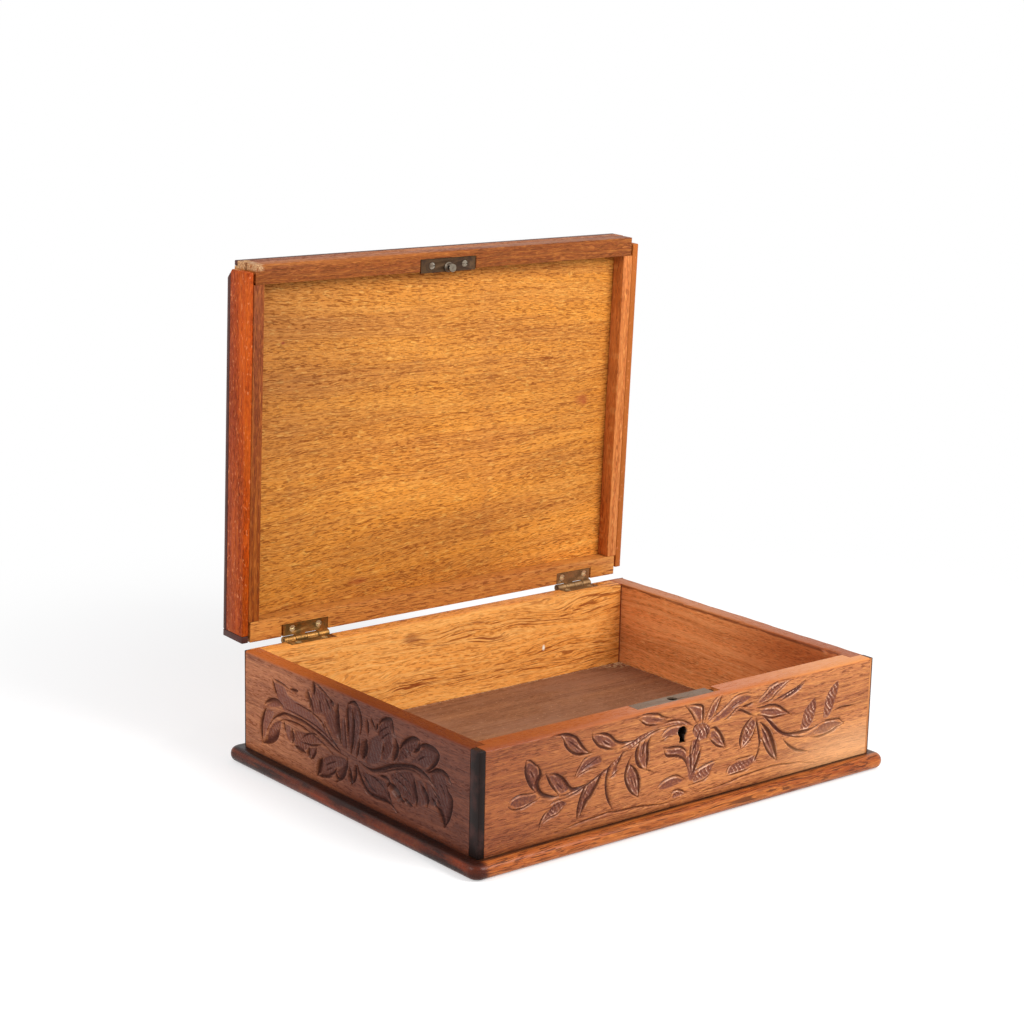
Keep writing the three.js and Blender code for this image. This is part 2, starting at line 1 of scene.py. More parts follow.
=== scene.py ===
"""Looks of a carved oak box with its lid standing open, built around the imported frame.

Meshes are in metres. The carving, the materials and every name that ends in MM are in millimetres. The frame is
the one of the CAD model: +X is the box's right end, +Y its back and +Z up, with the origin under the middle of
the base board. A colour is written as 0xRRGGBB, as a screen shows it, or as three numbers of linear light.
"""

import math

import bmesh
import bpy
import numpy as np
from bpy.props import FloatProperty, FloatVectorProperty, PointerProperty
from mathutils import Matrix, Vector


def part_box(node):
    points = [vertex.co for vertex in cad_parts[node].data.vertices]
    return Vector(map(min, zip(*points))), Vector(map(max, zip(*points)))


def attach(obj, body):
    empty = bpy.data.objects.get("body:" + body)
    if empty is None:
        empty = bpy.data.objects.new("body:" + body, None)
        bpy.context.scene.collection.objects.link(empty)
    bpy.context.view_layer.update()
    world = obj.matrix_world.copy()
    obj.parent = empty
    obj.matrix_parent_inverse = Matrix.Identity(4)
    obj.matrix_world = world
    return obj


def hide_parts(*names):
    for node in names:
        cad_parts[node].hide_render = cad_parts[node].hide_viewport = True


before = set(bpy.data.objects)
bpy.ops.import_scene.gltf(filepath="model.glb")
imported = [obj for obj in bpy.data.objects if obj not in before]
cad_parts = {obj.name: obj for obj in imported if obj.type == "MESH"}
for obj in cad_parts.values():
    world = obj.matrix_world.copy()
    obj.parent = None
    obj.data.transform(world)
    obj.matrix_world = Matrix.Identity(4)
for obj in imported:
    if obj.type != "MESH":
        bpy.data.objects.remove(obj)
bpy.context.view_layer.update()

bl_info = {
    "name": "Carved oak box",
    "version": (1, 0, 0),
    "blender": (4, 5, 0),
    "location": "View3D > Sidebar > Oak Box",
    "description": "Carving, wood, brass and steel of a small oak box with a hinged lid",
    "category": "Add Mesh",
}

MM = 0.001
X, Y, Z = 0, 1, 2

# The walls' foot and rim, the front's outer face, and half the depth and width over the walls
WALL_FOOT_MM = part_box("left_wall")[0].z / MM
RIM_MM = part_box("left_wall")[1].z / MM
FRONT_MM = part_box("front_wall")[0].y / MM
HALF_DEPTH_MM = -FRONT_MM
HALF_WIDTH_MM = -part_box("left_wall")[0].x / MM
# Inner face of the right wall, and the right end of the lock's selvedge
INNER_RIGHT_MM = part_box("right_wall")[0].x / MM
SELVEDGE_END_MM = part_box("lock_plate")[1].x / MM

# How far the lid stands open in the frame, and the way its outside faces there
LID_OPEN = math.radians(88)
LID_OUTWARD = Vector((0, math.sin(LID_OPEN), math.cos(LID_OPEN)))
# How far out the lid's outside lies that way, the top and left end of its panel, and the top of its facings
LID_OUTSIDE_MM = max(LID_OUTWARD.dot(vertex.co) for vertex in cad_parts["lid_panel"].data.vertices) / MM
PANEL_TOP_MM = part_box("lid_panel")[1].z / MM
PANEL_LEFT_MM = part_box("lid_panel")[0].x / MM
FACING_TOP_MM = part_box("lid_left_facing")[1].z / MM
# The outer top corner of the lid's left facing is broken off along a plane: a point on it and its outward normal
CHIP_POINT = Vector((0, 0.1277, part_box("lid_left_facing")[1].z - 0.0033))
CHIP_NORMAL = Vector((0, 0.744, 0.668))

# Camera: position, angles in degrees and focal length in pixels of a frame 1024 wide
CAMERA_PLACE = (-0.867594, -1.016851, 0.467999)
CAMERA_AZIMUTH = -39.158
CAMERA_ELEVATION = 13.17
CAMERA_ROLL = 1.262
FOCAL_PIXELS = 2329.849
FRAME_PIXELS = 1024
SENSOR_MM = 36.0

# Lamps: place, size and tint, and the point that both look at
KEY_LAMP = ((0.35, -1.0, 0.85), 0.8, (1.0, 0.98, 0.95))
FILL_LAMP = ((-1.1, 0.25, 0.7), 0.6, (1.0, 0.99, 0.97))
LAMP_TARGET = Vector((0, 0, 0.1))
# Stage floor: half its side and how far it lies under the box, in metres; where its shading starts and ends to
# fade to plain white, in millimetres from the middle; its colours, and the glow that lifts it near the box
FLOOR_HALF, FLOOR_DROP = 6.0, 0.0003
FADE_MM = (260, 620)
FLOOR_NEAR, FLOOR_PLAIN, WHITE = (0.62, 0.62, 0.63, 1), (0.8, 0.8, 0.8, 1), (1, 1, 1, 1)
FLOOR_GLOW = 0.42

# Copies of CAD nodes: corners closer than this are one, in metres, and faces that turn less than this join
SAME_CORNER = 0.000002
SAME_FACE = math.radians(0.5)
# Edges that turn more than this are rounded on a copy
ARRIS_ANGLE = math.radians(40)
# Degrees past which an edge shows sharp: on wood and metal, on the base board, on carved walls, and nowhere
WOOD_SHARP, BASE_SHARP, CARVED_SHARP, NEVER_SHARP = 40, 50, 38, 180
# Roundings of thin steel and brass, in metres, and of other woods as shares of the sawn edges' rounding
PLATE_ARRIS, LEAF_ARRIS = 0.00015, 0.00012
STRIP_ARRIS, FACING_ARRIS, BASE_ARRIS = 1.4, 1.5, 0.4

# Cuts, in millimetres or as shares: spacing of the points on a path and on a leaf's outline
PATH_STEP, OUTLINE_STEP = 0.8, 1.2
# Width at a cut's ends, and the part of its length over which each end widens
END_WIDTH, END_RUN = 0.3, 0.3
# How far its two walls reach, as shares of its width: the one on the leaf's side, the steep one with the least
# reach that it may have in millimetres, and both walls of a cut that leans to neither side
LEAF_WALL, STEEP_WALL, LEAST_REACH, EVEN_WALL = 1.15, 0.42, 0.5, 0.7
# Depth gained with the width, and strength of the stain and painted shade in a cut's bottom: of the thinnest, and
# gained with the width
DEPTH_PER_WIDTH, THIN_DARK, DARK_PER_WIDTH = 0.42, 0.55, 0.25
# Leaves: width of the ramp down from the outline, share of the depth that the gouge marks vary
LEAF_RAMP, LEAF_LEVEL = 1.7, 0.8
# Gouge marks: waves per millimetre along u and v, and their heights on a plain and on a hatched leaf
WIDE_GOUGE, FINE_GOUGE = (2.1, 1.3), (3.7, -2.3)
GOUGE_HEIGHTS = ((0.1, 0.03), (0.3, 0.12))
# Planed surface round the carving: mean depth, and height of its waves
PLANE_DEPTH, PLANE_WAVE = 0.06, 0.03
# Depth to which the front wall takes the carving's colours, and how far its cutting slab stands past it
FRONT_SKIN_MM, SLAB_MARGIN_MM = 6, 2.0
# Splinters lost from the right rim's inner edge: place along Y, half length and width, with steep ends
RIM_CHIPS = (
    (-90, 7, 3.4), (-72, 10, 1.3), (-46, 14, 1.0), (-14, 15, 1.5),
    (20, 12, 0.9), (48, 8, 2.6), (70, 10, 0.8),
)
CHIP_STEEPNESS = 6
# Waves along the rounding of the rim outside: share of the radius, and how fast per millimetre
FRONT_RIM_WAVES = ((0.25, 0.07), (0.15, 0.23))
END_RIM_WAVES = ((0.25, 0.09), (0.12, 0.31))
# Points on the rim's inner rounding, and how far below the rim the carved face ends
ROUNDING_POINTS, FACE_STOP_MM = 6, 0.01

# Heights of the bumps in the materials, in metres
PORE_DEPTH, PIT_DEPTH, EBONY_DEPTH = 0.00016, 0.00008, 0.0001
# Roughness of the varnish over oak, and reach of the dirt round a screw
COAT_ROUGHNESS, SCREW_DIRT_MM = 0.2, 2.8
# Noises of oak: length of their features along the grain, across it and out of the board, detail and roughness
BEND = ((75, 22, 30), 2, 0.5)
GROWTH_BANDS = ((150, 2.4, 9), 3, 0.6)
BROAD_FIGURE = ((190, 15, 26), 3, 0.55)
CLOUDS = ((60, 45, 60), 2, 0.5)
RAYS = ((6.5, 1.9, 12), 2, 0.5)
# Where each board's piece of the endless wood lies, per unit of its seed
SEED_STEP = (37.0, 53.0, 29.0)
EBONY_SEED_STEP = (17.0, 31.0, 23.0)
# Sockets of a colour Mix node: factor, the two colours, and the result
MIX_FACTOR, MIX_FIRST, MIX_SECOND, MIX_RESULT = 0, 6, 7, 2

# Carved cuts: width, leaf side (1 left, -1 right of the path, 0 none) and path, in millimetres.
# The front is measured from its left corner and the ends from the back, both above the walls' foot.
FRONT_CUTS = (
    (1.2, -1, "19.9 26.6 22 28.8 25.7 30.2 29.2 30.5 34.1 29.8 38.9 29.4"),
    (1.2, 1, "19.9 25.7 22.6 23.2 26.2 22.4 30.5 22.4 34 23.3 38.3 24.7 42.5 26.1"),
    (2.6, 1, "31.7 48.6 31.4 45.8 31.7 42 33.2 37.6 34.9 34.5 37 31.4 38.9 29.5"),
    (1.4, -1, "31.8 48.9 35 48.4 38.2 45.7 40.8 43.1"),
    (3, -1, "40 44.9 41.6 42.1 42.5 38.9 41.3 35.8 40.7 33.3 41.9 30.1 44.3 27.6 47.9 25.8 "
     "52.2 24.5 55.2 24.5"),
    (1, 0, "35.3 42.6 36.8 39.5 38.2 37"),
    (1.9, 1, "45.2 39 47 35.8 49.1 32 51.5 28.9 53.4 26.7 54.9 24.8"),
    (2.6, -1, "48.5 38 52.2 37.4 55.8 35.5 58.5 33.4 60.6 30.8 62.5 28.3 64.9 26.4 67.9 25.8 "
     "72.8 26.4 76.5 28"),
    (1, 0, "52.8 32.6 55.8 29.5 58.2 27"),
    (1, 0, "55.2 24.5 59.5 23.8 64.3 24.5 67.9 24.8"),
    (1.6, -1, "41.3 8.1 42.5 11.8 44.9 15.3 47.9 17.5"),
    (0.9, -1, "47.9 20 52.2 21.6 57.6 21.9"),
    (0.9, 1, "42.5 8.8 44.9 11.2 50.4 13.1 54.6 13.7 58.2 16.3 61.2 18.5"),
    (0.9, 0, "54.8 19.2 52.2 18.9 51.2 17.3 52.6 16.1"),
    (2.6, -1, "68.5 7.4 68.8 11.8 69.5 15.7 70.7 19.4 72.5 23.3 75.2 26.4"),
    (2.6, 1, "70.7 8.7 72.8 12.4 75.8 16.9 78.3 18.8 80.7 22 83.1 25.1 85 29 87.4 32.1"),
    (1, 0, "72.8 18.8 75.2 23.3 77.1 26.4"),
    (2.1, -1, "49.8 59.1 54.6 59.1 59.4 58.5 63.6 57 67.3 54.8 69.7 51.7 72.1 48.6 75.2 45.6 78.2 44.1"),
    (2.1, 1, "55.8 57.7 57.6 55.3 58.8 52.2 61.2 49.1 64.3 46.6 68.5 44.7 73.3 44.1 78.2 43.8"),
    (1.2, 0, "60.6 54.4 64.3 51.9 67.3 49.4 70.3 46.9"),
    (2, 1, "77.6 55.4 78.2 52.3 80.6 49.2 83 46.7 86.2 45.1 89.8 43.6 94.7 42.6"),
    (1.1, 0, "94.7 42.6 98.4 42.3 103.3 43 108.8 44.3 113.1 46.2 119.2 48.1"),
    (2, -1, "79.4 54.5 84.3 54 88.6 53 91.6 51.2 93.5 49.6 95.9 47.4 99.6 45.8 105 45.2 110 45.5"),
    (1.1, 0, "85.5 49.8 88.6 47.3 92.2 45.4"),
    (1.1, -1, "65.5 31.5 67.3 35.2 69.7 38.5 72.7 41.6 77.6 42.8"),
    (1, 0, "70.3 35.2 74.6 36.9 78.9 38.5 84.9 41.3"),
    (0.9, 1, "66.4 31.6 71.8 33.7 77.6 34.9 83.5 34.8"),
    (1.5, 0, "56.3 21.4 64 22.6 70.8 24.2 77.6 27.1 83.5 29.7 88.4 32.1 93.2 34.8"),
    (2.3, 1, "94.7 36.6 91.1 33.5 89.3 28.4 88.8 23.3 89.4 18.2 91.2 13.2 94.5 7.4"),
    (1.3, 1, "97.8 30.3 94.2 28 91.1 26.5"),
    (1.5, -1, "95.6 31.2 98.4 36 100.2 39.2 103.9 40.4"),
    (2.6, 1, "107.5 37.3 105.1 33.5 103.7 29.7 103 25.2 104 21.4 105.9 17.6 108.4 14.4 110.8 12.5 "
     "113.3 10.9"),
    (2.4, -1, "106.4 31.6 108.9 29.7 111.3 27.1 113.2 23.4 114.1 18.9 113.9 15 113.3 10.8"),
    (1.1, 0, "107 25.2 108.6 21.4 110.1 17.6"),
    (1.1, 0, "109.5 24.6 111.1 20.1 112 16.3"),
    (3, 1, "113.1 43 111 39.2 110.7 35.4 111.6 31.6 113.8 28.5 116.9 26.5"),
    (1, 0, "116.9 26.5 119.9 25.5 123.7 23.7"),
    (1.4, -1, "117.3 44.3 116.8 41.2 116.5 37.3 115.9 33.6"),
    (2.3, -1, "121.4 45 119.8 41.2 119.5 37.3 119.9 33.6 119.3 29.1 119 26.2"),
    (1.5, -1, "111.2 57.9 114.8 58.7 119.1 58.7 123.4 57.8 127.1 56.8 129.6 55.2 132.7 54 136.4 52.7"),
    (1.4, 1, "112 56.4 114.2 54.5 117.3 52.3 120.4 51.2 124.1 50.7 127.1 50.7"),
    (1.2, 0, "127.1 50.7 131.5 51 136.4 51.2 140.2 50.8 144.4 49.9 147.6 48.6 150.1 47.1 "
     "152.6 45.4 155.1 43.9"),
    (0.8, 0, "120.4 55.1 124.1 53.9 127.1 53.2 131.5 52.9"),
    (1.1, -1, "127.2 41.8 129.1 44.4 132.1 46.7 136.4 47.9 140.8 47.9 145.2 47.4 148.8 45.6"),
    (0.9, 1, "127.9 40.8 131.6 40.8 134 41.9 139 41.3"),
    (1.7, -1, "131 36.5 134.1 35.8 138.4 35.5 142.8 34.9 145.9 33.7 148.1 31.7 149.6 29.8"),
    (2.1, 1, "131.3 35.4 132.5 32.3 134.7 30.4 137.9 29.8 142.1 28.9 145.9 27.2 148.4 24.7 "
     "149.7 21.5 151 18.9"),
    (0.8, 0, "135.4 33.2 139.6 32.3 145.9 32.6"),
    (1.6, 1, "152.7 37 152 33.2 151.7 29.8 152.3 25.2 152.8 20.6 153.8 15.8"),
    (2.2, -1, "160.2 30.4 159.3 26.6 158.4 23.5 157.1 20.9 156 18.3 153.8 15.8"),
    (1, 0, "156.9 37.5 156.4 32.4 155.7 27.3 155.1 22.1"),
    (1.4, 1, "146.3 58.1 149.3 55.3 151.9 52.2 154.4 48.3 156.9 45.1"),
    (1.8, -1, "150 58.1 155 57.3 160.6 55.4 161.2 51.6 161.2 47.7 160.1 43.9"),
    (1.3, -1, "175.5 60.3 174.5 56.8 173 53.5 171.2 50.3 169.3 47.8"),
    (1.1, -1, "161.3 43.9 163.1 48.3 165.6 52.9 167.7 56 171.1 58.5 175.1 60.1"),
    (1, -1, "161.3 43 167.5 46.5 173.7 49.4 179.3 52.5 182.4 54.6 186.1 56.5 190.5 57.2 "
     "196.1 56.9 201.2 55.3"),
    (1.1, 1, "176.3 43.6 180.7 44.3 184.3 46.6 187.5 48.8 191.2 49.1"),
    (1.6, 1, "191.2 48.8 196.8 49 201.3 50.2"),
    (0.9, 0, "182.2 49.5 187.2 51.5 192.2 52.8"),
    (2.3, -1, "166.9 41 170.7 40.7 173.8 38.2 176.4 35 178 31.8 179.2 28.6 179.9 26.7"),
    (1.6, 1, "166.4 35 169.5 31.8 172.7 29.2 176.5 27.6 179.6 27"),
    (0.9, 0, "169.1 36.9 172.7 33.7 176 30.2"),
    (1.3, -1, "126.5 11.9 128.1 14.4 131.7 16.7 135.5 17.9 139.8 18.3 142.9 17.9 145.4 16.4 148.5 14.4"),
    (1.1, -1, "137.2 5.3 138.1 7.4 139.8 9 143 9.3 146.5 8.1 150.1 5.3"),
    (1.4, -1, "153.8 15.8 156 17.6 160.4 19 165.3 20.2 170.3 20.7 174 20.9"),
    (1.1, 1, "151.1 10.2 155.5 9.9 159.7 10.2 163.5 10.6 167.2 12.5 169.1 15.8"),
    (1.1, 0, "50.4 3.6 54.6 3.9 60.7 4.3 65.5 4.8 70.4 5.5 77.7 6 85 6.4 91.2 6.8 97.3 6.1 "
     "102.2 5.8 110.2 5.5 117 4.8 124.4 3.9 130.7 3 135.6 2.9 140.6 3.6 146.7 4.8"),
    (1.1, 0, "154.2 6.1 157.3 5.1 161.7 4.5 167.3 4.3 174.2 4.5 183 5.1 189.3 6.1 196.8 6.8 "
     "205 7.3 212 7.6 219.6 7.7 227.2 7 233.6 6.2 240 5.8 245.1 4.4 249.6 3.5 252.8 3"),
    (1, -1, "180.5 9.9 181.9 13.8 184.7 16.4"),
    (1.1, -1, "186 17.4 191 18 197.3 18 203 18.4"),
    (1.3, 1, "180.5 9.3 185.5 9 191.1 9.3 196.8 9.6 201.2 11"),
    (0.7, 0, "189.7 13.3 193.7 14 197.7 14.2"),
    (3, 1, "199.9 41.3 198 40.2 195.2 37.6 192.7 34.4 191.5 30.5 191.2 27.3 191.9 23.5"),
    (1.1, -1, "203.9 39 203.4 34.5 201.5 29.9 198.5 26.7 192.2 23.1"),
    (0.8, 0, "199.4 37.7 197.7 33 195.3 28.9"),
    (2, 0, "203 40.9 204.3 36.4 205.6 32.5 206.6 28.7 207.3 24.8 206.7 22.2 204.8 19"),
    (1.8, 0, "186.2 47.2 191.2 47 195.1 45 198.2 43.4 201.8 41.7"),
    (2.1, 1, "207.9 27.4 210.5 23.6 213.1 19 215.7 15.8 218.9 12.8 222.4 10.2"),
    (3.2, -1, "207.1 36.9 211 33.9 214.8 30 217.4 25.5 219.4 21 220.8 16.5 222.4 10.7"),
    (1.5, 0, "207.9 33.2 211.7 28.7 214.3 23.6 216.9 18.4"),
    (2.3, 0, "203.9 41.6 209 40.3 212.1 38 215.4 35.1 218.6 32 222.4 28.8 226.9 26.2 231.4 24.9 "
     "236.5 24.4 242.2 24.2 247.3 24.4 251.8 24.9 256.3 26.3 258.8 26.9"),
    (1.2, 0, "224.9 26.6 228.8 24.9 233.3 23.2 237.1 22 242.3 21.1 247.4 20.3"),
    (2, 0, "226.3 22.9 229.5 19.7 233.5 16.5 237.3 14.2 241.8 12.5 248.2 11.2"),
    (1.4, -1, "201.3 49.6 205.1 51.4 210.1 54.8 212.5 57 216.3 58.3 221.3 59.5 226.3 59.3 233.6 59.3"),
    (1.1, 1, "203.2 46.7 208.8 48 215.2 48.9 218.9 51.9 223.9 54.5 228.3 57.1 232.7 58.4"),
    (1, 0, "207.3 50.4 213.3 53.1 219.3 56.1 225.4 57.9"),
    (1.5, 0, "215.2 47.4 220.2 48.7 225.3 49.7 230.3 51 235.4 52.3 239.1 54.2 242.9 56.2"),
    (1.9, -1, "203.2 46.3 208.9 46 213.9 46.1 219 45.2 222.9 43.5 226 41.3 228.6 39.4 232.4 36.5"),
    (1.4, 1, "204.4 42 210.3 39.7 214 38 217.9 37.4 222.2 37.4 230.6 37.5"),
    (0.8, 0, "209.4 43.3 214.5 42.5 219.6 41.2"),
    (1.4, -1, "257.5 26.9 262.6 27.5 268.3 27.2 273.5 26.6 277.5 23"),
    (1.7, 1, "249.3 19.7 253.8 18.5 258.3 18.1 264.1 18.8 268.5 19.7 271.7 21.1 277.5 22.7"),
    (1.4, 0, "267 31.8 270.2 32.7 275.3 33.3 280.4 33.1 284.4 32.8 287 31.9"),
    (1.7, 0, "160.3 42.8 156 33.2 152.5 26.5"),
    (1.5, 0, "162.6 43.1 164.9 38.2 163.7 34.4"),
    (1.5, 0, "157.3 45.6 154.5 43.9 153.3 40"),
    (1.9, 0, "207.3 21.5 205.5 17.3 202.7 13.3"),
    (1.7, 1, "222 46.6 232.1 49.3 242.5 54.3"),
    (1.4, 0, "105.6 40.3 114.7 44 123.9 47.2 133.2 48"),
)
# Dished leaves: share of the leaf depth, whether gouge marks show, and outline
FRONT_HOLLOWS = (
    (0.5, 0, "19.9 26.2 23.5 29.1 29.2 29.9 35 29.4 39.8 28.6 38.9 25.3 33.1 23.5 26.3 23.1"),
    (0.9, 0, "32.2 48 35.5 47 38.9 44.6 40.8 41 41.2 37 40.2 32.5 38.9 30 36 33.6 33.5 38.5 32.1 43"),
    (0.7, 0, "47.1 37.5 52.4 36.7 57.2 33.7 60.4 29.6 63.1 26.4 58.2 24.8 55.3 25.4 52.4 29 49.5 33"),
    (0.9, 1, "42.2 9.3 45.1 14.3 48.5 18.1 52.4 20.9 57.7 21.3 61.1 18.7 56.3 15.1 50.5 13.2 45.6 11.8"),
    (0.8, 0, "69.5 8.8 70.2 15.4 71.8 20.5 75.7 26.3 81.5 28.6 82 25 77.7 19.1 73.8 14.9 71.3 10.8"),
    (0.6, 0, "56.2 57.8 62 56.8 66.9 53.8 70.8 48.7 74.2 45.4 67.9 45.4 63 48.6 59.5 53.2"),
    (0.5, 0, "78.4 54.7 85.4 53.2 91.2 50.4 94.8 47.2 97.1 44.1 89.3 44.7 83.4 47.5 79.5 51.3"),
    (0.7, 0, "66.2 31.9 68.4 35.9 71.8 40 77.6 41.8 84.4 41.2 85.4 37.2 77.6 35.8 70.8 33.7"),
    (1, 0, "94.2 33.7 92.3 28.1 97.2 29.6 96.8 31.7 99.1 36.2 102 39.3 96.2 37.2"),
    (1, 0, "106.8 33.2 105 29.2 104.1 25.1 105.3 20.5 108.5 15.5 112.8 11.9 113.4 18 112.2 23.6 109 29"),
    (0.9, 0, "113.8 42 112.5 37.3 112.9 32.7 115.7 28.6 118.4 27.2 118.7 33.3 118.6 38.4 119.3 42.9"),
    (0.4, 0, "112.2 57.4 117.6 58 123.5 56.9 129.5 54.3 133.4 52.5 127.5 51.6 120.6 52 115.7 54"),
    (0.6, 0, "128 41.6 130.5 44.4 135.5 46.8 140.4 47.2 146.4 46 149.4 43.2 146.9 40.5 140.5 41.5 "
     "133.5 41.7"),
    (0.6, 0, "131.6 35.7 137.5 34.9 144 33.8 148.5 30.3 149.9 25.2 150.6 20.1 147.5 26.4 "
     "142.5 29.7 135.6 31.3"),
    (0.8, 0, "153 36.4 152.7 30.3 153.3 24.2 154.2 18 156.5 21.6 158.5 27.3 159.4 33.4 158.4 37.5"),
    (0.8, 0, "148.2 57.4 153.2 52.8 156.8 47.5 159.1 45.7 160.2 50.8 159.4 54.6 154.2 56.7"),
    (0.8, 1, "163.3 46.1 165.6 50.8 168.1 54.9 174.1 59 172.5 54.9 170.2 50.4 167.2 46.3"),
    (0.7, 0, "164.3 43.7 172.2 47.4 180.2 51.9 187.1 55.6 195.1 55.9 199.2 54.1 193.2 51 "
     "186.2 49.3 180.2 45.8 172.3 43.7"),
    (0.8, 0, "167.3 39.6 170.3 39.4 173.9 36.1 177 31.4 178.7 27.9 173.4 30 169.4 33 167 35.7"),
    (0.7, 0, "127.3 12.1 130.8 15.1 136.7 17.2 142.6 16.8 147.6 13.9 142.7 12.3 134.8 11"),
    (0.8, 1, "138.2 5.7 140.2 8.2 143.7 8.6 147.7 6.7 149.7 5.1 143.7 4.7 139.8 4.3"),
    (0.8, 1, "154.6 14.4 159.6 17.8 166.5 19.5 173.5 20.1 170 17 168.2 13.5 162.6 11.3 154.6 10.8"),
    (0.6, 1, "181.1 9.8 183.6 14.8 188.6 16.8 197.7 17.1 203.7 17.9 201.8 12.3 194.8 10.2 186.7 9.6"),
    (1.1, 1, "200 40.3 196.2 37.2 193.7 32.5 192.9 27.4 193.2 24.2 197.9 27.6 201.5 32.1 203 37.7"),
    (1, 0, "207.1 34.6 211.6 31.1 215.7 26 218.3 19.8 221 12.5 217.5 15 213.4 20.2 209.3 27"),
    (0.8, 1, "202.9 49.2 209.3 53.1 214.3 56.8 221.3 58.3 230.4 58.8 224.4 55.9 218.4 52.8 "
     "213.4 49.6 206.3 48.2"),
    (0.5, 0, "204.3 45.1 211.4 44.9 218.5 43.7 224.2 41.3 229.1 38.2 220.6 38.2 212.5 39.4 206.4 42"),
    (1.1, 1, "239.5 25.8 240.7 29.5 241.6 33.7 243 37.4 246 40.3 249.4 43 252 43.7 253.3 39.9 "
     "253.4 36.4 252.1 31.7 249.9 27.9 246.3 25.3"),
    (1.1, 1, "259.1 29.2 259.2 33.2 259.7 37.9 261.1 42.7 263.8 46.8 267.7 49.7 270.9 50.8 "
     "271.8 47.1 270.9 43.1 268.9 37.9 267.6 34.1 265.4 30.8 262.8 28.9"),
    (0.7, 0, "251.5 20.4 255.5 25 261.6 26.7 268.8 26.3 276.4 23.2 268.9 20.9 261.7 19.4"),
    (0.5, 1, "101.8 43.7 116.3 48.3 135 50.6 148.4 48.7 154.4 44.2 150.5 45.4 135.1 48.2 "
     "123.9 47.5 114.7 44 105.6 40.3"),
    (0.8, 1, "154.4 45.4 161.1 45.9 166.6 42.3 165.9 36.9 159.8 35.1 153.4 39.4"),
    (0.6, 0, "148 27.4 152.9 29.1 157.2 21.1 155.4 12.5 151.1 13.4"),
    (0.6, 1, "216.7 48.6 231.9 51.9 243 56 238.6 50.4 228.1 47.7"),
    (0.5, 0, "208.1 40.4 216.5 36.5 227.4 27.5 242.3 22.6 256.9 24.9 269.6 26.4 267.6 24.1 "
     "257.1 21.6 242.5 20.3 225.5 24.7 214.6 33.5"),
    (0.5, 1, "62.8 25.8 75.2 27 87.7 32.4 100.1 39.9 98.8 36.5 91.3 31.3 80.7 26.3 68.2 23.2"),
)
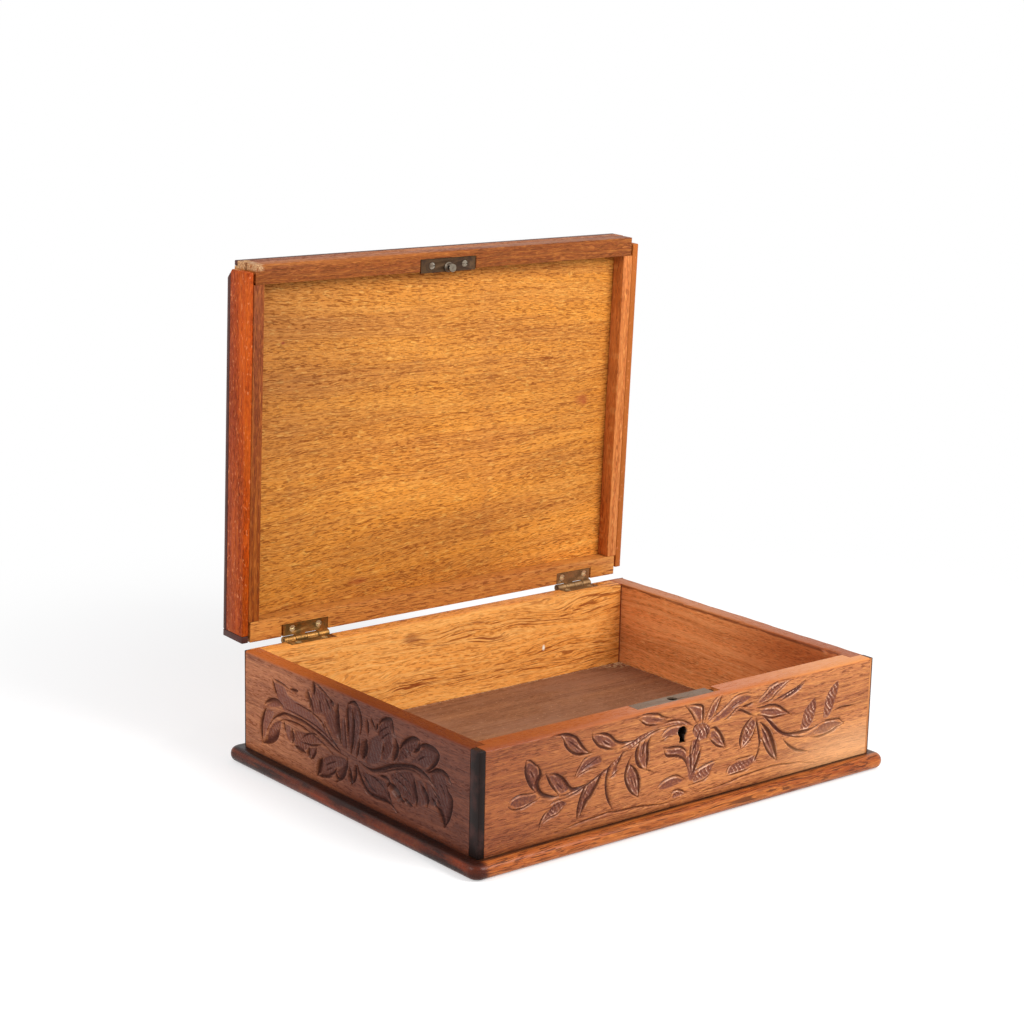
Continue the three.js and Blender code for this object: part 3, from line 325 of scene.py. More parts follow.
END_CUTS = (
    (1.6, -1, "29.9 50.3 35.2 49.8 42.3 49.3 47.5 48.2"),
    (1.6, 1, "30.2 49.8 31 46.4 32.6 43.3 35.2 40.4"),
    (2.6, 0, "48.8 48.3 51.9 48.3 57 49.2"),
    (3.2, -1, "21.8 32.5 24.1 34.6 29.4 37.1 34.8 37.7 39.2 36.6 41.5 35.2"),
    (2.6, 1, "23.1 29.8 19.5 24.9 17.5 19.2 17.5 13.5 20 8"),
    (4.5, -1, "37.8 20.9 36.2 17.6 32.5 13.2 27.5 10 20.3 7.3"),
    (2.3, 0, "24.4 16.4 27.1 20.8 31.6 26.1 37.8 29.6 42.2 31.5 51 32.1 61.4 32.1 69.9 30.9 "
     "78.4 29.3 86.8 27.1 95.2 24.4 101.8 23.3 105.9 23.3"),
    (1.3, 0, "33.9 22.8 41 27.4 50.2 28.8 60.6 28.9 74.7 26 84.9 23.6 98 19.8"),
    (1.3, 0, "39.2 34.5 49.2 34.7 61.4 34.2 75 32.8 86.8 29.6 96.8 25.9"),
    (1.3, 0, "50.1 41.3 63.1 40.7 73.3 39.4 80.9 36.9 86.8 33.1 91.8 29.5"),
    (3.8, 0, "66.9 52.4 66.9 48.7 68.9 45.7 69.1 42.7"),
    (2.6, 1, "72.8 59 72.2 55.1 72.8 51.2"),
    (1.8, -1, "73.1 59 78.3 57.6 83.3 55.7 87.5 53.8 91.7 52.2"),
    (1.5, 0, "69.9 47.5 71.2 42.8 73.3 38.9"),
    (1.6, 0, "78.3 50.7 78.8 45.3 81.3 41.5"),
    (2.2, 0, "84.6 51.8 87.1 48.5 89.7 45.3"),
    (3.2, 0, "88.8 52.2 91.3 50.6 92.9 49.1"),
    (4.8, 0, "97.5 51.8 96 45.5 96.3 39.6 98 34.2 100.3 29.8"),
    (1.9, 0, "84.3 37.8 86.4 33.9 90.2 30 95.2 26.9 100.2 24.8"),
    (1.3, 0, "80.1 39.2 82.6 34.9 85.2 30.6"),
    (1.8, 1, "107.3 54.9 106.1 49.2 106.6 42.4 107.4 35.8"),
    (2.8, -1, "107.3 54.9 110.5 56.9 114.1 57.2 117.4 54.6 119.6 50.8 120.4 46.2 119.5 40.1"),
    (3.2, 0, "111.7 52.1 112 45.9 111.7 38.9 111.1 31.9 110.8 26.4"),
    (1.8, 0, "118.8 37 117.2 30.6 116.1 25.4"),
    (1.5, 0, "103.7 45.6 104.1 38.8 105 32.1 105.9 27.4"),
    (2.4, 0, "125.8 50.9 126.1 46.1 126.6 41.8"),
    (2, 0, "129.4 52.8 130.8 49.8 133.6 46.2"),
    (1.8, 0, "135.7 51.1 134 46.3"),
    (5.2, 0, "125.2 38.3 123.5 33.2 122.1 26.7"),
    (3, -1, "136.9 51 139.2 53.9 143.9 56 148.4 56.4 149.5 53.4 150.8 49.5 152.5 47.6"),
    (1.2, 0, "136.2 45.5 141.2 49.5 146.3 51.8"),
    (1.2, 0, "137.8 42 143.2 46.4 147.9 48.7"),
    (1.4, 0, "141.8 40.7 140.6 37 139.5 34.3"),
    (3.8, 0, "152.9 46.3 153.5 42.6 152.7 38.3 150.6 33.6"),
    (3.2, -1, "156.5 42.2 158.9 46 163.2 49.5 168.5 51.7 173.6 52.1 174.6 50.4"),
    (3, 0, "174.2 50.3 172.8 47 169.1 43.6"),
    (3.4, -1, "172.8 46.1 175.7 49.7 181.3 50.9 187.3 50.6 191 48.7 190 44.8 186.4 40.1 181.6 36.3"),
    (1.3, 0, "171.8 39.1 175.5 42.1 180 44.3"),
    (1.1, 0, "157.3 40.8 160.4 39.3 163.5 38.2"),
    (1.1, 0, "160.3 43.5 164.1 42.2 167.2 41.2"),
    (3, 0, "118.9 23.6 126.2 22.2 132.5 22.6 140.4 25.8 149.7 30 159 32.9 168.1 34.8 175.7 34.6 "
     "181.7 33 186.2 30.6 190.4 28.5"),
    (1.3, 0, "129.4 20.9 140.4 24.1 151.3 28.5 160.5 31.6 168.9 32.9 175 32 179.5 30"),
    (3, -1, "183.1 36.2 189 39.3 194.9 40.2 199.5 38.7 203 35.5"),
    (3.6, -1, "198 33.1 200.4 29.6 203.1 27.1 203.4 23 201.5 16.3 197.7 9.2"),
    (3, 1, "190.2 19 193.4 16.2 196.2 11.8 197.5 9.4"),
    (1.3, 0, "185.1 29.3 188.6 26.1 193.1 23.2"),
    (1.3, 0, "191.4 32.6 194.8 29.8 197.1 26.2"),
    (1.3, 0, "187.1 25.6 190.9 22.5 194.7 18.9"),
    (2.6, 1, "116.5 21.4 118.2 16.9 121.5 12 126.4 8 132.8 7 139.1 7.4 145.4 7.8 150.1 6.8 154.8 4.4"),
    (1.7, 0, "120.6 18.1 124.7 14.9 129.5 11.4 135.9 9.9"),
    (2.3, 0, "137.3 21 143.6 21.4 146.8 19.9 144.9 16.4"),
    (4.7, 0, "146.8 19.9 150.7 17.7 154.6 15.5 157 13.3 160.9 12.7"),
    (2.5, 0, "145.3 15.6 146.9 11.2 149.5 7.9"),
    (2.3, 0, "160.4 14.8 164.7 12.9 169.3 12.4"),
    (3.8, 0, "169.6 29.2 169.7 23.3 171.1 18.5 172.5 13.6"),
    (3.6, 0, "175.8 26.8 178.9 23.9 181.2 21 182.2 16.3"),
    (2.1, 0, "185.3 22.7 188 20.2 191 18.3"),
    (1.3, 0, "152.9 27.7 159.8 26.2 166.8 24.4"),
    (1.3, 0, "149 24.5 156.1 22.6 163 20.8"),
    (1.5, 0, "126.2 19.3 134.2 17.7 140.6 15.2 145.3 12.2"),
    (1.2, 0, "157.6 22.6 163 19.9 167.7 17"),
    (2.6, 0, "108.5 14.1 111 8.2"),
    (2.6, 0, "111 8.2 114.2 12.8 115.9 18.8"),
    (3.2, -1, "107.6 22.5 106 16.6 102.1 10 96.6 5.4"),
    (2.8, 0, "109.1 18 110.1 12.8 111.1 7.7"),
    (2.2, 0, "115.3 20.8 114.6 14.6"),
    (2, 0, "42.7 27.1 42.9 23.6 44.2 20.3"),
    (4.4, 0, "51 24.5 50.5 20.5 51.2 15.9"),
    (2.8, 1, "52.7 15 57.9 13.7 64.8 13.6"),
    (1.6, 0, "58.8 19.8 62.7 23.4 68.2 26.3 75.1 27.7 78.4 26.2"),
    (1.6, 0, "58.4 18.9 64.8 19.3 71.7 20.2 81 23.3"),
    (2.7, 0, "69.1 18.6 67.6 14.6 70 11.3"),
    (2.7, 0, "70 11.3 73.4 15.3 76.1 19.8"),
    (4, 1, "81.5 15.3 78.5 10.7 76.7 3.8"),
    (2.4, 1, "76.8 3.6 83.6 4.5 92 7.1"),
    (2, 0, "87 6.5 92.1 9.1 96.3 13"),
    (2.4, 1, "95.3 11.7 96.8 7.4 100.3 7.9 104.5 11.9 107 17.1"),
    (1.3, 0, "83.6 11.1 88.6 14.1 96.1 17.7"),
    (1.2, 0, "85.3 9.1 92 12.5"),
)
END_HOLLOWS = (
    (0.45, 0, "30.8 48.9 42.3 48.6 47.5 44.1 61.4 42.2 75 38.8 82.6 34.9 91.8 29.5 101.8 24.8 "
     "93.5 26 76.7 30.3 61.4 33.1 42.2 32.6 38.7 36.2 34.3 39.6"),
    (0.6, 0, "18.6 20.5 23.1 29 30.7 30 30.7 25.9 25.3 18.2 20.8 10.2"),
    (0.8, 1, "26.2 18 32.5 24.3 39.6 26.2 38.7 20.9 34.2 15 23.5 9.2"),
    (0.6, 0, "23.1 32.6 29.9 36.2 35.2 36.8 39.6 34.9 30.7 32 24.5 30.9"),
    (0.55, 1, "73.2 57.3 80 56.1 86.7 53.4 91.7 49.8 95 45.2 95.9 38.5 97.6 31.6 91.8 32.4 "
     "85.1 38.6 81.7 41.6 73.3 39.4 69.1 42.7 69.9 49"),
    (0.7, 0, "107.3 52.9 110.5 55.2 111.4 47.7 110.7 32.7 108.3 29.6 107 36.6 106.5 46.3"),
    (0.7, 0, "112.5 55.8 116.2 53.8 118.6 48.6 118.7 41.8 115.6 31.2 112.8 29.4 112.6 43.1"),
    (0.4, 0, "100 44.6 104.1 45.7 105.8 36.3 107.5 27.9 101.8 27.8 100.1 34.7"),
    (0.6, 0, "127.6 39.2 133.8 43.9 140.1 44.6 140.2 36.9 137.2 28.3 128.5 24.8 124.5 26.1 126.8 33.2"),
    (0.7, 1, "136.9 50 140.8 53.7 147 55.4 148.6 52.2 149.5 45.3 149.6 38.6 143.5 31.1 139.5 32.8 "
     "141.8 40.7 136.2 43.5"),
    (0.8, 1, "157.3 41.7 160.3 45.9 168.5 50.6 173.1 50.9 171.6 46.7 166.4 41.5 160.4 36.4 153.5 34"),
    (0.7, 0, "174.7 46.2 179.1 49.3 185.8 49.8 189.5 47.5 186.7 42.5 180.1 37.3 172.6 37.5 "
     "165 36.3 171 41.8"),
    (0.7, 0, "121.4 19.8 128.6 19.5 137.3 20.1 144.4 18.3 146.9 9.3 139.1 8.4 131.2 8 124.7 11"),
    (0.7, 1, "146.7 25.2 159 30.2 168.9 31.7 169.8 23.3 170.8 14.1 162.4 13.9 156.2 16.9 149.9 21.3"),
    (0.7, 0, "171.2 29 177.3 29.4 181.9 23.1 181.3 17.2 173.8 14.5 171.4 20.5"),
    (0.6, 0, "178.8 30.7 184.8 30.1 190.1 23.7 190.2 19 183.5 17.9 181.1 24.3"),
    (0.75, 0, "184.6 35.8 189.8 38.4 196.4 38.3 199.4 34.4 201.8 27.2 201.9 21.6 199.9 14.8 "
     "197.4 10.8 194.7 15.6 190.9 20.1 188.6 25.6 186.2 31"),
    (0.5, 0, "44 26.4 50.1 26 49.2 21.7 50.1 15.8 45.7 16.7 43.5 21.2"),
    (0.8, 1, "53.6 24.9 61.4 26.1 70 26.9 78.4 26.7 81 23.9 71.7 20.8 64.8 14.9 57.9 14.5 "
     "52.7 16.1 52.7 20.6"),
    (0.7, 0, "69.1 18.6 76.8 20.8 75.1 17.8 70.9 12.5 68.3 14.3"),
    (0.8, 0, "82.7 15.9 90.2 20 100.2 21.9 105.9 21.5 105.2 16.8 96.1 13.7 92 8 78.5 4.1 78.5 8.7"),
    (0.8, 0, "96.1 11.7 106 19.1 104.4 13.1 99.5 8.2"),
)

# Reddish marks on the lid panel: centre and radii in millimetres, and strength
PANEL_MARKS = (
    ((116.9, 122.0, 193.0), (8, 6, 6), 0.55),
    ((118.9, 122.0, 191.0), (3, 6, 3), 0.5),
    ((-59.3, 125.5, 95.0), (11, 6, 4), 0.5),
    ((-117.9, 120.0, 249.8), (2.2, 6, 1.3), 0.9),
    ((42.6, 124.8, 112.6), (6, 6, 2.2), 0.35),
    ((75.4, 124.2, 129.8), (5, 6, 2.0), 0.3),
)


def linear(colour):
    """A colour written as 0xRRGGBB as linear light, by the sRGB curve; three numbers stay as they are."""
    if not isinstance(colour, int):
        return tuple(colour)
    parts = [((colour >> shift) & 255) / 255 for shift in (16, 8, 0)]
    return tuple(c / 12.92 if c <= 0.04045 else ((c + 0.055) / 1.055) ** 2.4 for c in parts)


def tone(label, code):
    """A colour that the panel lists."""
    return FloatVectorProperty(
        name=label, description=label + ", as linear light", subtype="COLOR", size=3, min=0, max=1,
        default=linear(code),
    )


def length(label, default_mm, most_mm):
    """A length that the panel lists."""
    return FloatProperty(
        name=label, description=label, default=default_mm * MM, min=0, max=most_mm * MM, unit="LENGTH", precision=5,
    )


class OakTones(bpy.types.PropertyGroup):
    """Colours of the woods and metals"""

    lid_panel: tone("Lid panel", 0xD88B30)
    lid_frame: tone("Lid frame", 0xA4581C)
    facing: tone("Lid facings", 0xC24C08)
    inside: tone("Walls inside", 0xF0A04A)
    outside: tone("Walls outside", 0xB8703E)
    # Also the painted shade in the cuts and along the walls' foot
    cut: tone("Bottom of the carving", 0x401408)
    hollow: tone("Carved leaves", 0x6E3828)
    floor: tone("Floor board", 0x926444)
    base: tone("Base board", 0xAA5A2A)
    pore: tone("Oak pores", 0x6E3413)
    ebony: tone("Ebonised strips", 0x1C1210)
    brass: tone("Brass", 0x976C3A)
    steel: tone("Steel", 0x86705E)


class OakSizes(bpy.types.PropertyGroup):
    """Sizes of the carving and of the worn edges"""

    grid: length("Spacing of the carved surface", 0.45, 2)
    groove_depth: length("Least depth of a groove", 0.6, 2)
    leaf_depth: length("Depth of a carved leaf", 1.1, 3)
    outer_round: length("Rounding of the rim outside", 1.3, 4)
    inner_round: length("Rounding of the rim inside", 0.5, 3)
    arris: length("Rounding of sawn edges", 0.35, 2)


class StageLight(bpy.types.PropertyGroup):
    """Strengths of the lamps and the sky"""

    key: FloatProperty(name="Key lamp", description="Power of the lamp at the right", default=16, unit="POWER")
    fill: FloatProperty(name="Fill lamp", description="Power of the lamp at the left", default=8, unit="POWER")
    sky: FloatProperty(name="Sky", description="Strength of the even light", default=0.54, min=0)


class Signal:
    """A shader socket on which Python arithmetic adds Math nodes."""

    def __init__(self, paint, socket):
        self.paint = paint
        self.socket = socket

    def _math(self, operation, first, second):
        return self.paint.add("ShaderNodeMath", {"operation": operation}, {0: first, 1: second})

    def __add__(self, other):
        return self._math("ADD", self, other)

    def __sub__(self, other):
        return self._math("SUBTRACT", self, other)

    def __rsub__(self, other):
        return self._math("SUBTRACT", other, self)

    def __mul__(self, other):
        return self._math("MULTIPLY", self, other)

    def most(self, other):
        """The larger of the two."""
        return self._math("MAXIMUM", self, other)

    __radd__ = __add__
    __rmul__ = __mul__


class Paint:
    """A procedural material: one method adds any node, the others name common uses of it."""

    def __init__(self, name, tree=None):
        """Starts a material, or takes the node tree that is given."""
        if tree is None:
            self.material = bpy.data.materials.new(name)
            self.material.use_nodes = True
            tree = self.material.node_tree
        self.tree = tree
        self.tree.nodes.clear()

    def add(self, kind, settings=None, inputs=None, output=0):
        """Adds a node: its settings first, then the values or links of its sockets."""
        node = self.tree.nodes.new(kind)
        for key, value in (settings or {}).items():
            setattr(node, key, value)
        for key, value in (inputs or {}).items():
            if isinstance(value, Signal):
                self.tree.links.new(value.socket, node.inputs[key])
            else:
                node.inputs[key].default_value = value
        return Signal(self, node.outputs[output]) if len(node.outputs) else None

    def place(self, shift=(0, 0, 0)):
        """Object coordinates in millimetres, shifted."""
        spot = self.add("ShaderNodeTexCoord", output="Object")
        return self.add("ShaderNodeMapping", inputs={"Vector": spot, "Scale": (1 / MM,) * 3, "Location": shift})

    def vector(self, operation, first, second):
        """Two vectors joined by an operation of the Vector Math node."""
        return self.add("ShaderNodeVectorMath", {"operation": operation}, {0: first, 1: second})

    def noise(self, spot, period, detail=2.0, roughness=0.5, output=0):
        """Noise whose features are period millimetres long: one number, or one for each axis."""
        periods = period if isinstance(period, tuple) else (period,) * 3
        scaled = self.vector("MULTIPLY", spot, tuple(1 / p for p in periods))
        inputs = {"Vector": scaled, "Scale": 1.0, "Detail": detail, "Roughness": roughness}
        return self.add("ShaderNodeTexNoise", inputs=inputs, output=output)

    def mask(self, value, low, high):
        """0 below low, 1 above high and smooth between them; it falls if low is above high."""
        if low > high:
            return 1 - self.mask(value, high, low)
        inputs = {"Value": value, "From Min": low, "From Max": high}
        return self.add("ShaderNodeMapRange", {"interpolation_type": "SMOOTHSTEP"}, inputs)

    def axis(self, spot, index):
        """One coordinate of a place."""
        return self.add("ShaderNodeSeparateXYZ", inputs={0: spot}, output=index)

    def span(self, spot, index, low, high):
        """The mask of one coordinate of a place."""
        return self.mask(self.axis(spot, index), low, high)

    def spot_mask(self, spot, centre, radii):
        """1 at a centre, 0 outside an ellipsoid of those radii."""
        away = self.vector("SUBTRACT", spot, centre)
        scaled = self.vector("MULTIPLY", away, tuple(1 / r for r in radii))
        return self.mask(self.reach(scaled), 1.0, 0.2)

    def reach(self, spot):
        """Length of a vector."""
        return self.add("ShaderNodeVectorMath", {"operation": "LENGTH"}, {0: spot}, "Value")

    def blend(self, factor, first, second, mode="MIX"):
        """Colour mixed from the first to the second by a factor."""
        settings = {"data_type": "RGBA", "blend_type": mode, "clamp_result": False}
        first, second = (c if isinstance(c, Signal) else (*linear(c), 1) for c in (first, second))
        inputs = {MIX_FACTOR: factor, MIX_FIRST: first, MIX_SECOND: second}
        return self.add("ShaderNodeMix", settings, inputs, MIX_RESULT)

    def layers(self, colour, *layers):
        """Lays tones over a colour in turn. Each layer is a factor, a tone, and a blend mode if it isn't MIX."""
        for factor, *layer in layers:
            colour = self.blend(factor, colour, *layer)
        return colour

    def bump(self, height, distance, strength):
        """A normal from a height; distance is the height of 1 in metres."""
        return self.add("ShaderNodeBump", inputs={"Height": height, "Distance": distance, "Strength": strength})

    def finish(self, inputs):
        """Closes the material with a Principled BSDF."""
        shader = self.add("ShaderNodeBsdfPrincipled", inputs=inputs)
        self.add("ShaderNodeOutputMaterial", inputs={"Surface": shader})
        return self.material


def oak(name, grain, face, tones, pore, dash=(4.5, 0.6), seed=0, pores=0.6, flecks=0.25, figure=0.4, gloss=0.42,
        coat=0.1, shine=0.2, wave=4.0, crowding=0.65, lines=0.0, fan=None, extra=None):
    """Oak of one board: growth bands, broad figure, short pores, ray flecks and a worn varnish.

    grain and face are the axes along the fibres and out of the broad face. tones are deep, main and light.
    dash is the length and thickness of a pore mark, and crowding how far the marks keep to the growth bands.
    lines is the strength of the long dark lines that they join to, and wave how far the grain strays.
    fan is the level at which the grain runs straight and how much its slope grows per millimetre from it.
    extra(paint, place, colour, rough) may change the last two.
    """
    paint = Paint(name)
    across = 3 - grain - face
    place = paint.place()
    spot = paint.vector("ADD", place, tuple(seed * step for step in SEED_STEP))

    def lay(along, wide, thick):
        """Three numbers given along the grain, across it and out of the face, in the order of the axes."""
        parts = [0.0, 0.0, 0.0]
        parts[grain], parts[across], parts[face] = along, wide, thick
        return tuple(parts)

    def grown(at, size, detail, roughness, output=0):
        """Noise that lies along the grain."""
        return paint.noise(at, lay(*size), detail, roughness, output)

    if fan:
        level, growth = fan
        lift = paint.axis(place, grain) * (paint.axis(place, across) - level) * growth
        spot = paint.vector("ADD", spot, paint.vector("MULTIPLY", lift, lay(0.0, 1.0, 0.0)))
    drift = paint.vector("SUBTRACT", grown(spot, *BEND, output=1), (0.5, 0.5, 0.5))
    bent = paint.vector("ADD", spot, paint.vector("MULTIPLY", drift, lay(0.0, wave * 2, wave)))
    bands = grown(bent, *GROWTH_BANDS)
    broad = grown(bent, *BROAD_FIGURE)
    cloud = grown(spot, *CLOUDS)
    marks = grown(bent, (dash[0], dash[1], dash[1] * 1.4), 1.5, 0.45)
    fibre = grown(bent, (dash[0] * 1.3, 0.42, 0.5), 2, 0.6)
    rays = grown(bent, *RAYS)

    deep, main, light = (linear(wood) for wood in tones)
    silver = tuple(min(1.0, c * 1.45 + 0.02) for c in light)
    fleck = paint.mask(rays, 0.58, 0.7) * flecks
    crowd = paint.mask(bands, 0.62, 0.4)
    pit = paint.mask(marks, 0.53, 0.6) * (crowd * crowding + (1 - crowding))
    colour = paint.layers(
        paint.blend(paint.mask(broad, 0.34, 0.66), deep, main),
        (paint.mask(bands, 0.42, 0.68) * figure, light),
        (paint.mask(cloud, 0.4, 0.72) * 0.3, deep),
        (fleck, silver),
        (paint.mask(fibre, 0.55, 0.4) * 0.3, deep),
        (paint.mask(fibre, 0.5, 0.68) * 0.45, light),
        (pit * pores, pore),
    )
    if lines:
        long = grown(bent, (dash[0] * 5, dash[1] * 1.25, dash[1] * 3), 2, 0.6)
        open_grain = paint.mask(broad, 0.6, 0.42)
        colour = paint.blend(paint.mask(long, 0.55, 0.62) * open_grain * lines, colour, pore)
    rough = cloud * 0.2 + (gloss - 0.1) + pit * 0.25 + fleck * -0.12
    if extra:
        colour, rough = extra(paint, place, colour, rough)
    return paint.finish({
        "Base Color": colour, "Roughness": rough, "Normal": paint.bump(fibre * 0.25 - pit, PORE_DEPTH, 0.7),
        "Coat Weight": coat, "Coat Roughness": COAT_ROUGHNESS, "Specular IOR Level": shine,
    })


def carved_oak(name, grain, face, tones, tint, rim_tone=0xB45F26, edge_light=0.3, **options):
    """Oak with cuts darkened by stain and painted shade, darker patinated leaves with painted glints on their
    ridges, a worn rim and painted shade along the foot.

    The cuts and leaves are read from the attributes that mark() leaves on a wall. tint(paint, place, colour)
    changes the colour of one wall at the end.
    """
    colours = bpy.context.scene.oak_tones

    def carved(paint, place, colour, rough):
        """The carving's colours over plain oak: stain and painted shade in the cuts, patina in the leaves, painted
        glints on the ridges beside them, a worn rim and painted shade along the foot; they also roughen the cuts.
        """
        cut = paint.add("ShaderNodeAttribute", {"attribute_name": "cut"}, output="Fac")
        leaf = paint.add("ShaderNodeAttribute", {"attribute_name": "leaf"}, output="Fac")
        shape = paint.add("ShaderNodeNewGeometry", output="Pointiness")
        near = paint.mask(leaf + cut, 0.02, 0.3)
        glint = paint.mask(paint.noise(place, 4), 0.45, 0.6)
        # Painted highlight: pale glints along the convex ridges beside the cuts and leaves, patchy by noise
        ridge_glint = paint.mask(shape, 0.508, 0.54) * near * (glint * 0.75 + 0.25)
        grime = paint.noise(place, 6, 3)
        score = paint.noise(place, 1.4)
        patina = paint.mask(leaf, 0.0, 0.45) * (paint.mask(score, 0.3, 0.6) * 0.35 + grime * 0.4 + 0.4)
        colour = paint.layers(
            colour,
            (patina, colours.hollow),
            # Stain and painted shade darken the bottoms of the cuts
            (paint.mask(cut, 0.15, 0.8) * 0.9, colours.cut),
            (ridge_glint * edge_light, 0xE6B79C),
            (paint.span(place, Z, RIM_MM - 1.6, RIM_MM - 0.4) * 0.75, rim_tone),
            # Painted shade along the foot, where the wall stands on the base board
            (paint.span(place, Z, WALL_FOOT_MM + 2.4, WALL_FOOT_MM) * 0.4, colours.cut),
        )
        return tint(paint, place, colour), rough + paint.mask(cut, 0.1, 0.6) * 0.3

    return oak(name, grain, face, tones, colours.pore, extra=carved, **options)


def metal(name, clean, worn, dark, gloss, screws=()):
    """Old metal: brushed along X, browned in patches, with dark specks and dirt round its screws."""
    paint = Paint(name)
    spot = paint.place()
    streak = paint.noise(spot, (14, 0.35, 0.35))
    patch = paint.noise(spot, (7, 6, 7), 4, 0.65)
    speck = paint.noise(spot, 1.1, 2, 0.6)
    brown = paint.mask(patch, 0.42, 0.66)
    pits = paint.mask(speck, 0.62, 0.72)
    colour = paint.layers(clean, (brown, worn), (pits * 0.8, dark))
    for node in screws:
        low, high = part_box(node)
        ring = paint.spot_mask(spot, tuple((low + high) / 2 / MM), (SCREW_DIRT_MM,) * 3)
        colour = paint.blend(paint.mask(ring, 0.0, 0.25), colour, dark)
    rough = streak * 0.16 + gloss + brown * 0.16 + pits * 0.2
    shine = 1 - brown * 0.25 - pits * 0.4
    normal = paint.bump(streak * 0.4 - pits, PIT_DEPTH, 0.6)
    return paint.finish({"Base Color": colour, "Roughness": rough, "Metallic": shine, "Normal": normal})


def ebonised(name, grain, seed, rubbed, bare_end_mm=None):
    """Stained hardwood under dull varnish: near black, and browner where it is rubbed.

    With bare_end_mm, a place along X, the front face is bare wood up to there.
    """
    paint = Paint(name)
    spot = paint.place(shift=tuple(seed * step for step in EBONY_SEED_STEP))
    period = [0.5, 0.5, 0.5]
    period[grain] = 22
    line = paint.noise(spot, tuple(period), 3, 0.6)
    rub = paint.noise(spot, 16, 4, 0.6)
    colour = paint.layers(
        bpy.context.scene.oak_tones.ebony,
        (paint.mask(rub, 0.48, 0.78) * 0.5 + rubbed, 0x5E3832),
        (paint.mask(line, 0.4, 0.75) * 0.35, 0x120D0B),
    )
    if bare_end_mm is not None:
        place = paint.place()
        face = paint.span(place, Y, FRONT_MM + 0.4, FRONT_MM + 0.1)
        bare = paint.blend(paint.mask(line, 0.4, 0.65) * 0.6, 0xC88450, 0x8A5434)
        colour = paint.blend(face * paint.span(place, X, bare_end_mm, bare_end_mm - 0.3), colour, bare)
    return paint.finish({
        "Base Color": colour, "Roughness": rub * 0.3 + 0.22 + line * 0.1,
        "Normal": paint.bump(line, EBONY_DEPTH, 0.5), "Specular IOR Level": 0.12,
    })


def new_piece(name, vertices, faces, smooth_below):
    """A mesh object from whole arrays, smooth except across edges sharper than an angle in degrees."""
    mesh = bpy.data.meshes.new(name)
    mesh.from_pydata(vertices.tolist(), [], faces)
    mesh.update()
    soften(mesh, smooth_below)
    piece = bpy.data.objects.new(name, mesh)
    bpy.context.scene.collection.objects.link(piece)
    return piece


def soften(mesh, smooth_below):
    """Shades a mesh smooth except across edges sharper than an angle in degrees."""
    mesh.shade_smooth()
    mesh.set_sharp_from_angle(angle=math.radians(smooth_below))


def settle(piece, body, slot, material, *nodes):
    """Gives a piece its material and its CAD body, and hides the CAD nodes it stands for. slot is not used."""
    piece.data.materials.clear()
    piece.data.materials.append(material)
    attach(piece, body)
    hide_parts(*nodes)


def settled_mesh(piece):
    """Applies the modifiers of a piece by taking its evaluated mesh."""
    bpy.context.view_layer.update()
    shown = piece.evaluated_get(bpy.context.evaluated_depsgraph_get())
    mesh = bpy.data.meshes.new_from_object(shown)
    piece.modifiers.clear()
    old = piece.data
    piece.data = mesh
    mesh.name = piece.name
    bpy.data.meshes.remove(old)
    return mesh


def closed_copy(node, name, chipped=False):
    """A copy of a CAD node, its loose triangles merged and its flat faces joined.

    If it is chipped, the part beyond the chip's plane is cut away and the cut closed with a flat face.
    """
    work = bmesh.new()
    work.from_mesh(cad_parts[node].data)
    bmesh.ops.remove_doubles(work, verts=work.verts, dist=SAME_CORNER)
    bmesh.ops.dissolve_limit(work, angle_limit=SAME_FACE, verts=work.verts, edges=work.edges)
    if chipped:
        everything = work.verts[:] + work.edges[:] + work.faces[:]
        parted = bmesh.ops.bisect_plane(
            work, geom=everything, plane_co=CHIP_POINT, plane_no=CHIP_NORMAL, clear_outer=True)["geom_cut"]
        bmesh.ops.contextual_create(work, geom=[item for item in parted if isinstance(item, bmesh.types.BMEdge)])
        bmesh.ops.recalc_face_normals(work, faces=work.faces)
    mesh = bpy.data.meshes.new(name)
    work.to_mesh(mesh)
    work.free()
    piece = bpy.data.objects.new(name, mesh)
    bpy.context.scene.collection.objects.link(piece)
    return piece


def rounded_copy(node, width, body, slot, material, smooth_below=WOOD_SHARP, segments=2, chipped=False):
    """A copy of a CAD node with its sharp edges rounded, standing for the node."""
    piece = closed_copy(node, node + "_rounded", chipped)
    bevel = piece.modifiers.new("arris", "BEVEL")
    bevel.width = width
    bevel.segments = segments
    bevel.limit_method = "ANGLE"
    bevel.angle_limit = ARRIS_ANGLE
    bevel.use_clamp_overlap = True
    bevel.miter_outer = "MITER_ARC"
    soften(settled_mesh(piece), smooth_below)
    settle(piece, body, slot, material, node)


def paint_node(node, material):
    """Gives a CAD node that keeps its shape a material."""
    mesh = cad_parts[node].data
    mesh.materials.clear()
    mesh.materials.append(material)


def points_of(text):
    """Pairs of numbers in a text as an array of points."""
    return np.array(text.split(), float).reshape(-1, 2)


def smooth_path(points, step):
    """A Catmull-Rom curve through the points, sampled about every step."""
    ends = np.vstack([2 * points[0] - points[1], points, 2 * points[-1] - points[-2]])
    count = np.maximum(2, np.ceil(np.linalg.norm(np.diff(points, axis=0), axis=1) / step).astype(int))
    pieces = []
    for i, n in enumerate(count):
        a, b, c, d = ends[i:i + 4]
        t = np.linspace(0, 1, n, endpoint=False)[:, None]
        square, cube = 2 * a - 5 * b + 4 * c - d, 3 * b - a - 3 * c + d
        pieces.append(0.5 * (2 * b + (c - a) * t + square * t**2 + cube * t**3))
    return np.vstack(pieces + [points[-1:]])


